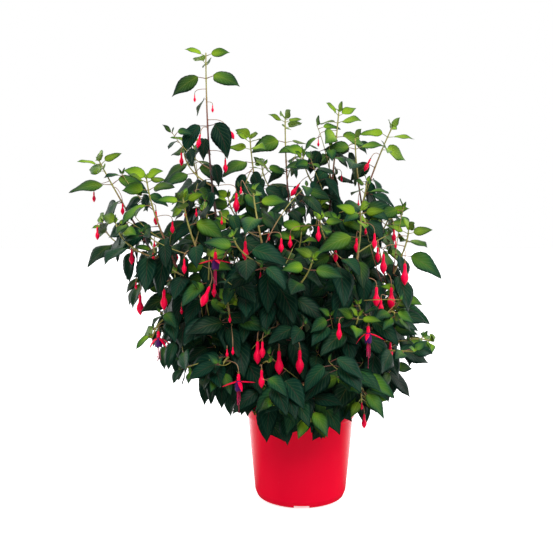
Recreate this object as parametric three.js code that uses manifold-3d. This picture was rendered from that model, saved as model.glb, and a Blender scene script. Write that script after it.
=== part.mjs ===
// A potted fuchsia bush: a red nursery pot filled with soil, leafy stems that rise out of it and
// arch over its rim, and closed buds and open flowers that hang from them on thin stalks.
// Millimetres, +Z up. The origin is the centre of the pot's underside, on the surface it stands on,
// and the bush is seen from -Y.
import * as THREE from "three";
import { mergeVertices } from "three/addons/utils/BufferGeometryUtils.js";
import Module from "manifold-3d";

const wasm = await Module();
wasm.setup();

// The pot has the common 3 litre nursery size: 190 mm over the rim and 149 mm high.
const POT_HEIGHT = 149;
const RIM_RADIUS = 95;
const WALL = 1.8;
const WALL_TOP = { radius: 85, z: 131 };
const WALL_FOOT = { radius: 73, z: 11 };
const COLLAR_STEP = 2.4;
const FOOT_RADIUS = 64;
const BASE_RAISE = 5.4;
const POT_SIDES = 28;
const NOTCH_WIDTH = 24;
const NOTCHES = 4;
const HUB_RADIUS = 18;
const DRAIN_RADIUS = 5;

// Neighbouring pieces keep this gap, so that they touch for every purpose and overlap in none.
const GAP = 0.3;
const TUBE_GAP = 0.5;
const LEAF_GAP = 0.4;

const SOIL_TOP = 126;
const SOIL_MOUND = 3;
const HOLE_DEPTH = 24;
const HOLE_CLEARANCE = 1.8;

// Leaves stand in opposite pairs, each pair a quarter turn from the last.
const LEAF_LENGTH = 62;
const LEAF_SHAPE = [
  { along: 0.2, half: 0.2 },
  { along: 0.5, half: 0.27 },
  { along: 0.8, half: 0.15 },
];
const SMALL_LEAF_SHAPE = [
  { along: 0.3, half: 0.24 },
  { along: 0.72, half: 0.18 },
];
const LEAF_KEEL = 1.5;
const SMALLEST_LEAF = 24;
const SMALL_LEAF = 46;
// A leaf is full grown this far down from the tip, and hangs as old leaves do from here on.
const GROWN_AT = 45;
const AGED_AT = 110;
// How steeply a leaf rises at its base and how far it bends down to its tip, young and old.
const LEAF_RISE = { young: 44, old: -50 };
const LEAF_SAG = { young: 18, old: 36 };
// Leaves near the pot hang more: from the first height down, and fully at the second.
const LOW_FOLIAGE = { from: 330, to: 130, droop: 16 };
const STEM_RADIUS = { foot: 3.2, tip: 1.0 };
const SHOOT_RADIUS = { foot: 1.5, tip: 0.9 };
const LEAVES = 324;
const LEAF_SPACING = 42;
const SHOOT_TRIES = 14;
// The middle of the foliage, seen from above. Leaves turn away from it.
const HEART = { x: -40, y: 70 };
const STEM_STEPS = 9;
const SHOOT_STEPS = 3;

// Each stem is a cubic curve from its foot in the soil, by two points that pull it, to its tip. The
// three numbers set the way its first pair of leaves faces, in degrees, its number of side shoots,
// and how far those point upwards.
const stem = (name, foot, rise, pull, tip, turn, shoots, lift) => ({
  name,
  foot,
  rise,
  pull,
  tip,
  turn,
  shoots,
  lift,
});
const STEMS = [
  stem("tall", [-18, 6], [-110, -5, 260], [-150, -5, 430], [-149, 0, 703], 0, 2, 0.6),
  stem("left_high", [-32, -6], [-150, -30, 250], [-262, -40, 440], [-308, -40, 530], 20, 2, 0.5),
  stem("left_front", [-24, -26], [-120, -70, 240], [-215, -95, 400], [-228, -90, 500], 60, 2, 0.5),
  stem("left_back", [-14, 24], [-70, 40, 300], [-178, 60, 470], [-180, 60, 575], 30, 2, 0.6),
  stem("front_left_high", [-12, -36], [-80, -80, 240], [-165, -115, 390], [-171, -120, 470], 10, 2, 0.4),
  stem("front_arch", [4, -42], [-15, -120, 230], [-62, -165, 400], [-71, -140, 478], 80, 3, 0.3),
  stem("mid_back_left", [-4, 8], [-30, 20, 300], [-75, 45, 470], [-82, 50, 575], 50, 2, 0.6),
  stem("mid_back", [10, 24], [0, 40, 300], [-25, 75, 480], [-24, 80, 612], 15, 2, 0.6),
  stem("mid_right", [18, 4], [30, 0, 300], [48, 5, 480], [60, 10, 612], 35, 3, 0.7),
  stem("right_high", [34, 12], [45, 15, 300], [95, 30, 480], [149, 40, 592], 70, 3, 0.6),
  stem("right", [38, -6], [80, -30, 260], [160, -60, 380], [160, -60, 425], 5, 3, 0.2),
  stem("front_right_high", [22, -22], [50, -80, 250], [85, -140, 390], [77, -150, 452], 0, 2, 0.3),
  stem("right_front", [42, -24], [70, -60, 260], [135, -125, 340], [130, -132, 300], 40, 3, 0.0),
  stem("right_low", [54, 0], [75, -25, 215], [150, -50, 275], [195, -60, 258], 25, 2, 0.1),
  stem("front_right_low", [28, -46], [45, -85, 225], [80, -160, 265], [78, -172, 190], 45, 2, -0.2),
  stem("front_low", [4, -60], [5, -90, 220], [5, -165, 240], [8, -172, 165], 30, 2, -0.2),
  stem("left_low", [-48, -20], [-95, -50, 260], [-200, -85, 350], [-222, -92, 268], 15, 3, -0.1),
  stem("front_left_low", [-32, -44], [-60, -80, 230], [-110, -140, 290], [-120, -150, 215], 55, 3, -0.1),
  stem("back_left", [-32, 44], [-60, 80, 260], [-120, 150, 400], [-130, 165, 440], 10, 2, 0.3),
  stem("back_right", [18, 48], [30, 90, 260], [60, 160, 400], [60, 175, 450], 40, 2, 0.3),
  stem("back_right_low", [46, 30], [80, 60, 240], [150, 110, 320], [165, 120, 290], 65, 3, 0.0),
  stem("back_low", [-8, 58], [-15, 90, 230], [-40, 170, 290], [-45, 185, 225], 30, 2, -0.1),
];

// The middle of each bud and flower and its length in millimetres, largest first. "lean" tips one
// out of the plumb line towards +X, and an open flower has its sepals spread.
const BLOOMS = [
  { at: [-65, -150, 257], size: 36 },
  { at: [-35, -155, 244], size: 38 },
  { at: [-6, -150, 244], size: 38 },
  { at: [150, -90, 363], size: 36 },
  { at: [133, -75, 326], size: 38 },
  { at: [122, -65, 377], size: 34 },
  { at: [103, -130, 333], size: 32 },
  { at: [-247, -50, 314], size: 36 },
  { at: [-202, -105, 327], size: 34 },
  { at: [-83, -120, 398], size: 32 },
  { at: [-102, -5, 471], size: 34 },
  { at: [-136, -155, 336], size: 34, lean: -0.4 },
  { at: [-122, -165, 383], size: 34, open: true },
  { at: [-213, -90, 264], size: 34, open: true },
  { at: [-91, -165, 215], size: 34, open: true },
  { at: [88, -160, 281], size: 34, open: true },
  { at: [-257, -60, 387], size: 26 },
  { at: [-217, -105, 383], size: 24 },
  { at: [-169, -130, 376], size: 24 },
  { at: [-59, -172, 224], size: 28 },
  { at: [47, -170, 289], size: 26 },
  { at: [129, -95, 251], size: 26 },
  { at: [87, -130, 154], size: 24 },
  { at: [-9, -5, 490], size: 26, lean: -0.7 },
  { at: [-219, -65, 445], size: 24 },
  { at: [-193, 35, 542], size: 24 },
  { at: [-119, -5, 528], size: 24 },
  { at: [-158, -25, 564], size: 24, lean: -0.2 },
  { at: [-112, 0, 580], size: 26, lean: 0.6 },
  { at: [76, -115, 406], size: 24 },
  { at: [99, -135, 412], size: 24 },
  { at: [147, -5, 419], size: 24 },
  { at: [-32, -150, 406], size: 22 },
  { at: [20, -140, 422], size: 24 },
  { at: [107, 15, 531], size: 24, lean: -0.5 },
  { at: [-312, -45, 422], size: 22 },
];
const STALK_RADIUS = 0.75;
const BUD_SHAPE = [
  { along: 0, radius: 0.045 },
  { along: 0.3, radius: 0.06 },
  { along: 0.64, radius: 0.15 },
  { along: 0.86, radius: 0.085 },
];
const FLOWER_SHAPE = [
  { along: 0, radius: 0.045 },
  { along: 0.34, radius: 0.075 },
  { along: 0.62, radius: 0.17 },
  { along: 0.8, radius: 0.19 },
];
const SEPALS = 4;

const UP = new THREE.Vector3(0, 0, 1);
const vector = (point) => new THREE.Vector3(...point);
const along = (point, direction, distance) => point.clone().addScaledVector(direction, distance);
const mix = (from, to, share) => from + (to - from) * share;
const degrees = THREE.MathUtils.degToRad;
const clamp = THREE.MathUtils.clamp;

// A repeatable draw from 0 to 1 for each set of up to four indices.
const SALTS = [127.1, 311.7, 74.7, 269.5];
function chance(...keys) {
  const wave = Math.sin(keys.reduce((sum, key, i) => sum + (key + 1) * SALTS[i], 0)) * 43758.5453;
  return wave - Math.floor(wave);
}
const spread = (width, ...keys) => (chance(...keys) - 0.5) * 2 * width;

// Solids and meshes
function solidOf(geometry) {
  const bare = new THREE.BufferGeometry().setAttribute("position", geometry.getAttribute("position"));
  if (geometry.index) bare.setIndex(geometry.index);
  const merged = mergeVertices(bare, 1e-4);
  return new wasm.Manifold(
    new wasm.Mesh({
      numProp: 3,
      vertProperties: merged.attributes.position.array,
      triVerts: new Uint32Array(merged.index.array),
    }),
  );
}

function geometryOf(solid) {
  const mesh = solid.getMesh();
  const points = new Float32Array(mesh.numVert * 3);
  for (let i = 0; i < mesh.numVert; i++) {
    points.set(mesh.vertProperties.subarray(i * mesh.numProp, i * mesh.numProp + 3), i * 3);
  }
  return new THREE.BufferGeometry()
    .setAttribute("position", new THREE.BufferAttribute(points, 3))
    .setIndex(new THREE.BufferAttribute(mesh.triVerts, 1));
}

// Joins rings of points, each running anticlockwise round the way of travel. The first and the
// last ring may be a single point.
function loft(rings) {
  const points = rings.flat();
  const sides = Math.max(...rings.map((ring) => ring.length));
  const faces = [];
  let start = 0;
  rings.slice(0, -1).forEach((ring, i) => {
    const next = start + ring.length;
    const at = (first, count, j) => first + (count === 1 ? 0 : j % sides);
    for (let j = 0; j < sides; j++) {
      const corners = [at(start, ring.length, j), at(start, ring.length, j + 1)];
      const ends = [at(next, rings[i + 1].length, j), at(next, rings[i + 1].length, j + 1)];
      if (ring.length > 1) faces.push(...corners, ends[1]);
      if (rings[i + 1].length > 1) faces.push(corners[0], ends[1], ends[0]);
    }
    start = next;
  });
  for (let j = 1; j < sides - 1; j++) {
    if (rings[0].length > 1) faces.push(0, j + 1, j);
    if (rings.at(-1).length > 1) faces.push(start, start + j, start + j + 1);
  }
  const flat = new Float32Array(points.flatMap((p) => [p.x, p.y, p.z]));
  return new wasm.Manifold(
    new wasm.Mesh({ numProp: 3, vertProperties: flat, triVerts: new Uint32Array(faces) }),
  );
}

// A ring of points round a centre, square to a direction.
function ringAt(centre, direction, radius, sides, reference = new THREE.Vector3(1, 0, 0)) {
  const first = reference.clone().addScaledVector(direction, -reference.dot(direction)).normalize();
  const second = direction.clone().cross(first);
  return Array.from({ length: sides }, (_, j) => {
    const angle = (j / sides) * 2 * Math.PI;
    return along(along(centre, first, Math.cos(angle) * radius), second, Math.sin(angle) * radius);
  });
}

// A curve as straight steps from its tip down, with the distance from the tip at each.
function pathOf(steps, ...controls) {
  const curve = new THREE.CubicBezierCurve3(...controls);
  const points = Array.from({ length: steps + 1 }, (_, i) => curve.getPoint(1 - i / steps));
  const distances = [0];
  for (let i = 1; i <= steps; i++) {
    distances.push(distances[i - 1] + points[i].distanceTo(points[i - 1]));
  }
  return { points, distances, length: distances[steps] };
}

// The point at a distance from a path's tip, and the way that the path runs there, towards the tip.
function placeOn(path, distance) {
  let i = 1;
  while (i < path.points.length - 1 && path.distances[i] < distance) i++;
  const share = (distance - path.distances[i - 1]) / (path.distances[i] - path.distances[i - 1]);
  return {
    point: path.points[i - 1].clone().lerp(path.points[i], share),
    way: path.points[i - 1].clone().sub(path.points[i]).normalize(),
  };
}

// The way out of the bush from a point, level and away from the middle of its foliage.
const outwards = (point) => new THREE.Vector3(point.x - HEART.x, point.y - HEART.y, 0).normalize();

// A direction square to "way", turned round it by an angle from where "turn" degrees points.
function sideways(way, turn) {
  const reference = new THREE.Vector3(Math.cos(degrees(turn)), Math.sin(degrees(turn)), 0.01);
  return reference.addScaledVector(way, -reference.dot(way)).normalize();
}

// A stem's own curve, from the bottom of its hole in the soil.
function mainCurve({ foot, rise, pull, tip }) {
  const path = pathOf(STEM_STEPS, ...[[...foot, SOIL_TOP - HOLE_DEPTH + GAP], rise, pull, tip].map(vector));
  return { path, radius: STEM_RADIUS, sides: 4, order: 0 };
}

// A side shoot leaves its stem at an angle and bends up or down from there. A try after the first
// turns it further round the stem.
function shootCurve(main, stem, index, j, attempt) {
  const share = mix(0.2, 0.62, (j + spread(0.2, index, j, 1) + 0.5) / stem.shoots);
  const { point, way } = placeOn(main, main.length * share);
  const turn = stem.turn + 137.5 * (j + 1) + 25 * attempt;
  const side = sideways(way, turn).addScaledVector(outwards(point), 0.5).normalize();
  const length = mix(75, 150, chance(index, j, 2)) * mix(0.8, 1.1, share);
  const start = way.clone().multiplyScalar(0.5).addScaledVector(side, 0.85).normalize();
  const bend = along(along(point, start, length * 0.7), UP, length * stem.lift * 0.15);
  const end = along(along(point, start, length * 0.75), UP, length * stem.lift * 0.7);
  const path = pathOf(SHOOT_STEPS, point, along(point, start, length * 0.35), bend, end);
  return { path, radius: SHOOT_RADIUS, sides: 3, order: j + 1 };
}

function tubeOf({ path, radius, sides, order }) {
  const last = path.points.length - 1;
  const across = path.points[0].clone().sub(path.points[last]).cross(UP).normalize();
  const rings = path.points.map((point, i) => {
    const way = path.points[Math.max(i - 1, 0)].clone().sub(path.points[Math.min(i + 1, last)]).normalize();
    const direction = order || i < last ? way : UP;
    return ringAt(point, direction, mix(radius.tip, radius.foot, i / last), sides, across);
  });
  return loft(rings.reverse());
}

// Where a pair of leaves stands on a curve: closer together towards the tip.
function nodesOf(path) {
  const found = [];
  let distance = 5;
  for (let k = 0; distance < path.length - 12; k++) {
    found.push(distance);
    distance += Math.min(LEAF_SPACING, 12 + 10 * k);
  }
  return found;
}

// The turn, the tilt in degrees and the scale of each try to fit a leaf in.
const TRIES = [
  [0, 0, 1],
  [18, 8, 1],
  [-18, -8, 1],
  [34, -14, 0.92],
  [-34, 12, 0.92],
  [10, 26, 0.85],
  [-10, -26, 0.8],
  [50, 0, 0.75],
];
// How far a blade rolls about its own axis to turn its upper face to the light.
const STEEPEST_BANK = 1.15;
function bankTo(level, axis, light) {
  const across = UP.clone().cross(level);
  const face = axis.clone().cross(across);
  return clamp(Math.atan2(-light.dot(across), light.dot(face)), -STEEPEST_BANK, STEEPEST_BANK);
}

// The shape and place of one leaf. The light comes from above and from outside the bush.
function leafAt(curve, distance, stem, index, k, side, attempt) {
  const { point, way } = placeOn(curve.path, distance);
  const keys = [index, curve.order, k * 2 + side];
  const [turned, tilted, scale] = TRIES[attempt];
  const age = clamp(distance / AGED_AT, 0, 1);
  const low = clamp((LOW_FOLIAGE.from - point.z) / (LOW_FOLIAGE.from - LOW_FOLIAGE.to), 0, 1);
  const outward = outwards(point);
  const angle = stem.turn + 90 * k + 180 * side + spread(16, ...keys, 0) + turned;
  const out = sideways(way, angle).addScaledVector(outward, 0.25 + 0.4 * age).normalize();
  const grown = mix(0.4, 1, clamp(distance / GROWN_AT, 0, 1)) * mix(0.82, 1.05, chance(...keys, 1));
  const length = LEAF_LENGTH * grown * scale;
  const level = new THREE.Vector3(out.x, out.y, 0).normalize();
  const droop = Math.min(0, THREE.MathUtils.radToDeg(Math.asin(way.z)) - 30) * 0.6;
  const hang = LOW_FOLIAGE.droop * low - spread(14, ...keys, 2) - tilted;
  const rise = degrees(mix(LEAF_RISE.young + droop, LEAF_RISE.old, Math.sqrt(age)) - hang);
  const sag = degrees(mix(LEAF_SAG.young, LEAF_SAG.old, age));
  const roll = degrees(spread(18, ...keys, 3));
  const light = UP.clone().multiplyScalar(0.7).addScaledVector(outward, mix(0.5, 0.9, age));
  const aim = (tilt) => level.clone().multiplyScalar(Math.cos(tilt)).addScaledVector(UP, Math.sin(tilt));
  const towards = out.clone().addScaledVector(way, 0.4).addScaledVector(aim(rise), 0.5).normalize();
  const shape = length > SMALL_LEAF ? LEAF_SHAPE : SMALL_LEAF_SHAPE;
  const stations = [0, ...shape.map((s) => s.along), 1];
  let centre = along(point, towards, 4 + length * 0.17);
  const bank = roll + bankTo(level, aim(rise - sag / 2), light);
  const frames = stations.map((share, i) => {
    const axis = aim(rise - sag * share);
    if (i > 0) centre = along(centre, axis, length * (share - stations[i - 1]));
    else axis.add(towards).normalize();
    const across = UP.clone().cross(level).applyAxisAngle(axis, bank);
    return { centre, across, face: axis.clone().cross(across) };
  });
  return { root: along(point, towards, -0.4), length, frames, halves: shape.map((s) => s.half * length) };
}

// The leaf as a solid: a flat upper face and a keel below, on a three-sided stalk sunk in the stem.
function leafSolid(leaf, withStalk) {
  const ring = (frame, half, keel) => [
    along(frame.centre, frame.across, -half),
    along(frame.centre, frame.across, half),
    along(frame.centre, frame.face, -keel),
  ].reverse();
  const rings = leaf.frames.slice(1, -1).map((frame, i) => ring(frame, leaf.halves[i], LEAF_KEEL));
  rings.unshift(ring(leaf.frames[0], 1.1, 1.4));
  rings.push([leaf.frames.at(-1).centre]);
  if (withStalk) rings.unshift([leaf.root]);
  return loft(rings);
}

// The place on any stem or shoot that a bloom's stalk best hangs from: about the right distance
// from the top of the bloom, and above it.
function hangingPlace(top, size) {
  const reach = 8 + 0.8 * size;
  let best = { score: Infinity };
  leafyStems.forEach(({ index, curves }) =>
    curves.forEach(({ path, radius }) => {
      for (let distance = 4; distance < path.length; distance += 4) {
        const { point, way } = placeOn(path, distance);
        const apart = point.distanceTo(top);
        const lengthwise = Math.abs(top.clone().sub(point).dot(way)) / apart;
        const low = Math.max(0, top.z + 10 - point.z);
        const score = Math.abs(apart - reach) + 0.5 * low + 20 * lengthwise ** 3;
        const thick = mix(radius.tip, radius.foot, distance / path.length);
        if (score < best.score) best = { score, point, way, thick, index };
      }
    }),
  );
  return best;
}

// A bloom hangs on a stalk that leaves its stem square on and bends down.
function bloomSolid({ at, size, lean = 0, open = false }) {
  const down = new THREE.Vector3(lean, 0, -1).normalize();
  const top = along(vector(at), down, -size / 2);
  const { point, way, thick } = hangingPlace(top, size);
  const aim = top.clone().sub(point);
  const side = aim.addScaledVector(way, -aim.dot(way)).normalize();
  const start = along(point, side, thick + GAP);
  const reach = start.distanceTo(top);
  const pulls = [along(start, side, reach * 0.4), along(top, down, -reach * 0.4)];
  const curve = new THREE.CubicBezierCurve3(start, ...pulls, top);
  const across = side.clone().cross(down).normalize();
  const sides = size > 30 ? 5 : 4;
  const rings = [0, 0.35, 0.7].map((t) =>
    ringAt(curve.getPoint(t), curve.getTangent(t), STALK_RADIUS, sides, across),
  );
  (open ? FLOWER_SHAPE : BUD_SHAPE).forEach((station) =>
    rings.push(ringAt(along(top, down, station.along * size), down, station.radius * size, sides, across)),
  );
  if (!open) rings.push([along(top, down, size)]);
  const body = loft(rings);
  return open ? body.add(sepals(top, down, across, size)).add(pistil(top, down, across, size)) : body;
}

// Four spread sepals, each a blade that turns up at its tip, and the pistil that hangs below them.
function sepals(top, down, across, size) {
  const root = along(top, down, size * 0.36);
  const blades = Array.from({ length: SEPALS }, (_, i) => {
    const out = across.clone().applyAxisAngle(down, ((i + 0.4) / SEPALS) * 2 * Math.PI);
    const edge = down.clone().cross(out);
    const middle = along(along(root, out, size * 0.3), down, size * 0.06);
    const end = along(along(root, out, size * 0.56), down, -size * 0.08);
    const keel = along(middle, down, size * 0.045);
    const ring = [along(middle, edge, size * 0.11), keel, along(middle, edge, -size * 0.11)];
    return loft([[root], ring, [end]]);
  });
  return wasm.Manifold.union(blades);
}
function pistil(top, down, across, size) {
  const ring = ringAt(along(top, down, size * 0.7), down, 0.9, 3, across);
  return loft([ring, [along(top, down, size * 1.35)]]);
}

// Everything placed so far, so that what comes next can be kept clear of it.
const placed = [];
function remember(solid, owner) {
  placed.push({ solid, owner, box: solid.boundingBox() });
}
function near(a, b) {
  return [0, 1, 2].every((i) => a.min[i] < b.max[i] + 1 && b.min[i] < a.max[i] + 1);
}
function isClear(solid, gap, counts) {
  const box = solid.boundingBox();
  const rivals = placed.filter((other) => counts(other.owner) && near(box, other.box));
  return rivals.every((other) => solid.minGap(other.solid, 1) > gap);
}

const material = (color, roughness) => new THREE.MeshStandardMaterial({ color, roughness, metalness: 0 });
const POT_PLASTIC = material(0xd80a28, 0.35);
const SOIL = material(0x2e2118, 0.95);
const FOLIAGE = material(0x1d4a2b, 0.5);
const BLOOM = material(0xe0102f, 0.45);

// A solid of revolution from a profile of radius and height.
function latheOf(profile) {
  const points = profile.map(([radius, z]) => new THREE.Vector2(radius, z));
  return solidOf(new THREE.LatheGeometry(points, POT_SIDES).rotateX(Math.PI / 2));
}

// The pot: a foot ring and a flat pad to stand on, a tapered wall, a collar and a lip.
function potShell() {
  const inner = (radius) => radius - WALL;
  const collar = WALL_TOP.radius + COLLAR_STEP;
  return latheOf([
    [0, 0],
    [HUB_RADIUS, 0],
    [HUB_RADIUS + 2, BASE_RAISE],
    [FOOT_RADIUS - 4, BASE_RAISE],
    [FOOT_RADIUS - 3, 0],
    [FOOT_RADIUS, 0],
    [FOOT_RADIUS + 5.5, 2.6],
    [WALL_FOOT.radius, WALL_FOOT.z],
    [WALL_TOP.radius, WALL_TOP.z],
    [collar, WALL_TOP.z + 0.8],
    [collar + 1.4, POT_HEIGHT - 3],
    [RIM_RADIUS, POT_HEIGHT - 2.4],
    [RIM_RADIUS, POT_HEIGHT],
    [collar + 1, POT_HEIGHT],
    [inner(collar), WALL_TOP.z + 2],
    [inner(WALL_TOP.radius), WALL_TOP.z],
    [inner(WALL_FOOT.radius), WALL_FOOT.z],
    [FOOT_RADIUS - 2, BASE_RAISE + WALL],
    [HUB_RADIUS + 1, BASE_RAISE + WALL],
    [HUB_RADIUS - 1, WALL],
    [0, WALL],
  ]);
}

function pot() {
  let shell = potShell();
  for (let i = 0; i < NOTCHES; i++) {
    const turn = (i / NOTCHES) * 2 * Math.PI;
    const notch = new THREE.BoxGeometry(NOTCH_WIDTH, 20, BASE_RAISE + 1)
      .translate(0, -FOOT_RADIUS - 5, (BASE_RAISE - 1) / 2)
      .rotateZ(turn);
    shell = shell.subtract(solidOf(notch));
    const drain = new THREE.CylinderGeometry(DRAIN_RADIUS, DRAIN_RADIUS, 3 * WALL, 8)
      .rotateX(Math.PI / 2)
      .translate(0, -(FOOT_RADIUS - 16), BASE_RAISE + WALL / 2)
      .rotateZ(turn + Math.PI / NOTCHES);
    shell = shell.subtract(solidOf(drain));
  }
  return shell;
}

// The soil fills the pot to a little under its rim, with a plain hole for each stem.
function soil() {
  const inner = ({ radius, z }) => [radius - WALL - GAP, z];
  const share = (SOIL_TOP - WALL_FOOT.z) / (WALL_TOP.z - WALL_FOOT.z);
  let body = latheOf([
    [0, WALL + GAP],
    [HUB_RADIUS - 1.4, WALL + GAP],
    [HUB_RADIUS + 0.6, BASE_RAISE + WALL + GAP],
    [FOOT_RADIUS - 2.4, BASE_RAISE + WALL + GAP],
    inner(WALL_FOOT),
    [mix(WALL_FOOT.radius, WALL_TOP.radius, share) - WALL - GAP, SOIL_TOP],
    [0, SOIL_TOP + SOIL_MOUND],
  ]);
  leafyStems.forEach(({ curves }) => {
    const { path } = curves[0];
    const radius = STEM_RADIUS.foot + HOLE_CLEARANCE;
    const below = ringAt(along(path.points.at(-1), UP, -GAP), UP, radius, 4);
    const above = ringAt(placeOn(path, path.length - HOLE_DEPTH * 2).point, UP, radius, 4);
    body = body.subtract(loft([below, above]));
  });
  return body;
}

// The leafy stems, with their curves and the solids that each is made of.
const leafyStems = STEMS.map((stem, index) => ({ stem, index, curves: [], parts: [] }));
const notOf = (plant) => (owner) => owner !== plant.index;
const onlyOf = (plant) => (owner) => owner === plant.index;

// The stems come first, then their side shoots, each turned until it clears the others.
function addTube(plant, curve) {
  const tube = tubeOf(curve);
  if (!isClear(tube, TUBE_GAP, notOf(plant))) return false;
  plant.curves.push(curve);
  plant.parts.push(tube);
  remember(tube, plant.index);
  return true;
}
function addShoot(plant, j) {
  for (let attempt = 0; attempt < SHOOT_TRIES; attempt++) {
    if (addTube(plant, shootCurve(plant.curves[0].path, plant.stem, plant.index, j, attempt))) return;
  }
}
for (const plant of leafyStems) {
  if (!addTube(plant, mainCurve(plant.stem))) throw new Error(plant.stem.name + " meets another stem");
}
for (const plant of leafyStems) {
  for (let j = 0; j < plant.stem.shoots; j++) addShoot(plant, j);
}

// The blooms, the pot and the soil are in place before any leaf.
const blooms = BLOOMS.map((bloom, i) => {
  const solid = bloomSolid(bloom);
  remember(solid, "bloom " + i);
  return solid;
});
const potSolid = pot();
const soilSolid = soil();
remember(potSolid, "pot");
remember(soilSolid, "soil");

const LAST_TURN = 9;
// Leaves go on from the tips inwards and from the outside of the bush in. The lowest number is
// first: young pairs at the tips, then the rest by chance and by how far out they stand.
function orderOf({ plant, curve, distance, k, side }) {
  if (curve.order && k === 0) return LAST_TURN;
  if (curve.order && k === 1) return 0;
  if (k < 3) return 0;
  const { point } = placeOn(curve.path, distance);
  const reach = Math.hypot(point.x - HEART.x, point.y);
  return 1 + 2 * chance(plant.index, curve.order, 2 * k + side, 5) - reach / 80;
}
const places = leafyStems.flatMap((plant) =>
  plant.curves.flatMap((curve) =>
    nodesOf(curve.path).flatMap((distance, k) =>
      [0, 1].map((side) => ({ plant, curve, distance, k, side })),
    ),
  ),
);
places.forEach((place) => (place.turn = orderOf(place)));
places.sort((a, b) => a.turn - b.turn);

// A leaf is kept clear of all else, but its stalk may touch its own stem. Where no try fits, the
// place stays empty.
function addLeaf({ plant, curve, distance, k, side }) {
  for (let attempt = 0; attempt < TRIES.length; attempt++) {
    const leaf = leafAt(curve, distance, plant.stem, plant.index, k, side, attempt);
    if (leaf.length < SMALLEST_LEAF) return 0;
    const whole = leafSolid(leaf, true);
    if (!isClear(whole, LEAF_GAP, notOf(plant))) continue;
    if (!isClear(leafSolid(leaf, false), LEAF_GAP, onlyOf(plant))) continue;
    plant.parts.push(whole);
    remember(whole, plant.index);
    return 1;
  }
  return 0;
}
let leafCount = 0;
for (const place of places) {
  if (leafCount < LEAVES) leafCount += addLeaf(place);
}

// The nodes
const group = new THREE.Group();
function add(name, solid, finish) {
  const mesh = new THREE.Mesh(geometryOf(solid), finish);
  mesh.name = name;
  group.add(mesh);
}

add("pot", potSolid, POT_PLASTIC);
add("soil", soilSolid, SOIL);
for (const { stem, parts } of leafyStems) {
  add("leafy_stem_" + stem.name, wasm.Manifold.union(parts), FOLIAGE);
}

blooms.forEach((solid, i) => add("bloom_" + String(i + 1).padStart(2, "0"), solid, BLOOM));

export default group;
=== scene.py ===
"""A potted fuchsia bush: a glossy red nursery pot, soil, leafy stems, closed buds and open flowers.

Lengths in the plant's own tables are millimetres in the frame of the part; meshes are in metres.
"""

import functools
import math
from collections import namedtuple

import bpy
import numpy as np
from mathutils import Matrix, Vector
from mathutils.bvhtree import BVHTree
from mathutils.kdtree import KDTree


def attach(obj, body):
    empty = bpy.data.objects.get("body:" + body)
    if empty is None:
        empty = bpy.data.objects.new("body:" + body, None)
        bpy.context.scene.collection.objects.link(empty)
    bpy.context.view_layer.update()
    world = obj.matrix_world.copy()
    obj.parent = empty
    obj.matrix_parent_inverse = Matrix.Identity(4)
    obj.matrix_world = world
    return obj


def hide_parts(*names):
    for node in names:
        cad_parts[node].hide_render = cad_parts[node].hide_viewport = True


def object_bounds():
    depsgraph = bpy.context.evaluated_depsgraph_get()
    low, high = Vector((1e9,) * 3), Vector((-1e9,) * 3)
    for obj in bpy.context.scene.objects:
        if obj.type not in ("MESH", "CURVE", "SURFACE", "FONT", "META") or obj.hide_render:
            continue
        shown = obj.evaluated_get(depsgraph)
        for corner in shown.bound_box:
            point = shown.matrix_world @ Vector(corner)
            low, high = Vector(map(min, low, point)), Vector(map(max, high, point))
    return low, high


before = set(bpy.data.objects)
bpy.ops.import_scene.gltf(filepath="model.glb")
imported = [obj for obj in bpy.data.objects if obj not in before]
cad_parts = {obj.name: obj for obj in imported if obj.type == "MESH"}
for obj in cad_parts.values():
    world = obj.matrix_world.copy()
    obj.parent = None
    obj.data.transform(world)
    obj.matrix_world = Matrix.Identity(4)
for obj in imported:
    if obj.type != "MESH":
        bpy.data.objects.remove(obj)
CAD_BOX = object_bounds()

bl_info = {
    "name": "Potted Fuchsia",
    "version": (1, 0, 0),
    "blender": (4, 5, 0),
    "location": "3D View > Sidebar > Fuchsia",
    "description": "Dresses a potted fuchsia: smooth pot, soil, leafy stems, buds and open flowers",
    "category": "Object",
}

MM = 0.001
UP = Vector((0, 0, 1))
FRONT = Vector((0, -1, 0))

# The pot
POT_HEIGHT = 149
RIM_RADIUS = 95
WALL = 1.8
WALL_TOP = (85, 131)
WALL_FOOT = (73, 11)
COLLAR_STEP = 2.4
FOOT_RADIUS = 64
BASE_RAISE = 5.4
HUB_RADIUS = 18
DRAIN_RADIUS = 5
# The foot's notches and the drain holes between them.
NOTCHES = 4
NOTCH_WIDTH = 24
NOTCH_LENGTH = 20
NOTCH_RADIUS = FOOT_RADIUS + 5
DRAIN_RING = FOOT_RADIUS - 16
# The soil, with a mound in its middle, lumps, and a level edge at the wall.
SOIL_TOP = 126
SOIL_MOUND = 3
SOIL_MOUND_STEPS = 26
SOIL_SIDES = 96
SOIL_EDGE = 84
SOIL_MARGIN = 4
SOIL_LUMPS = 1.3
SOIL_SINK = 1.6
GAP = 0.3
# How deep the stems stand in the soil.
HOLE_DEPTH = 24

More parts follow.
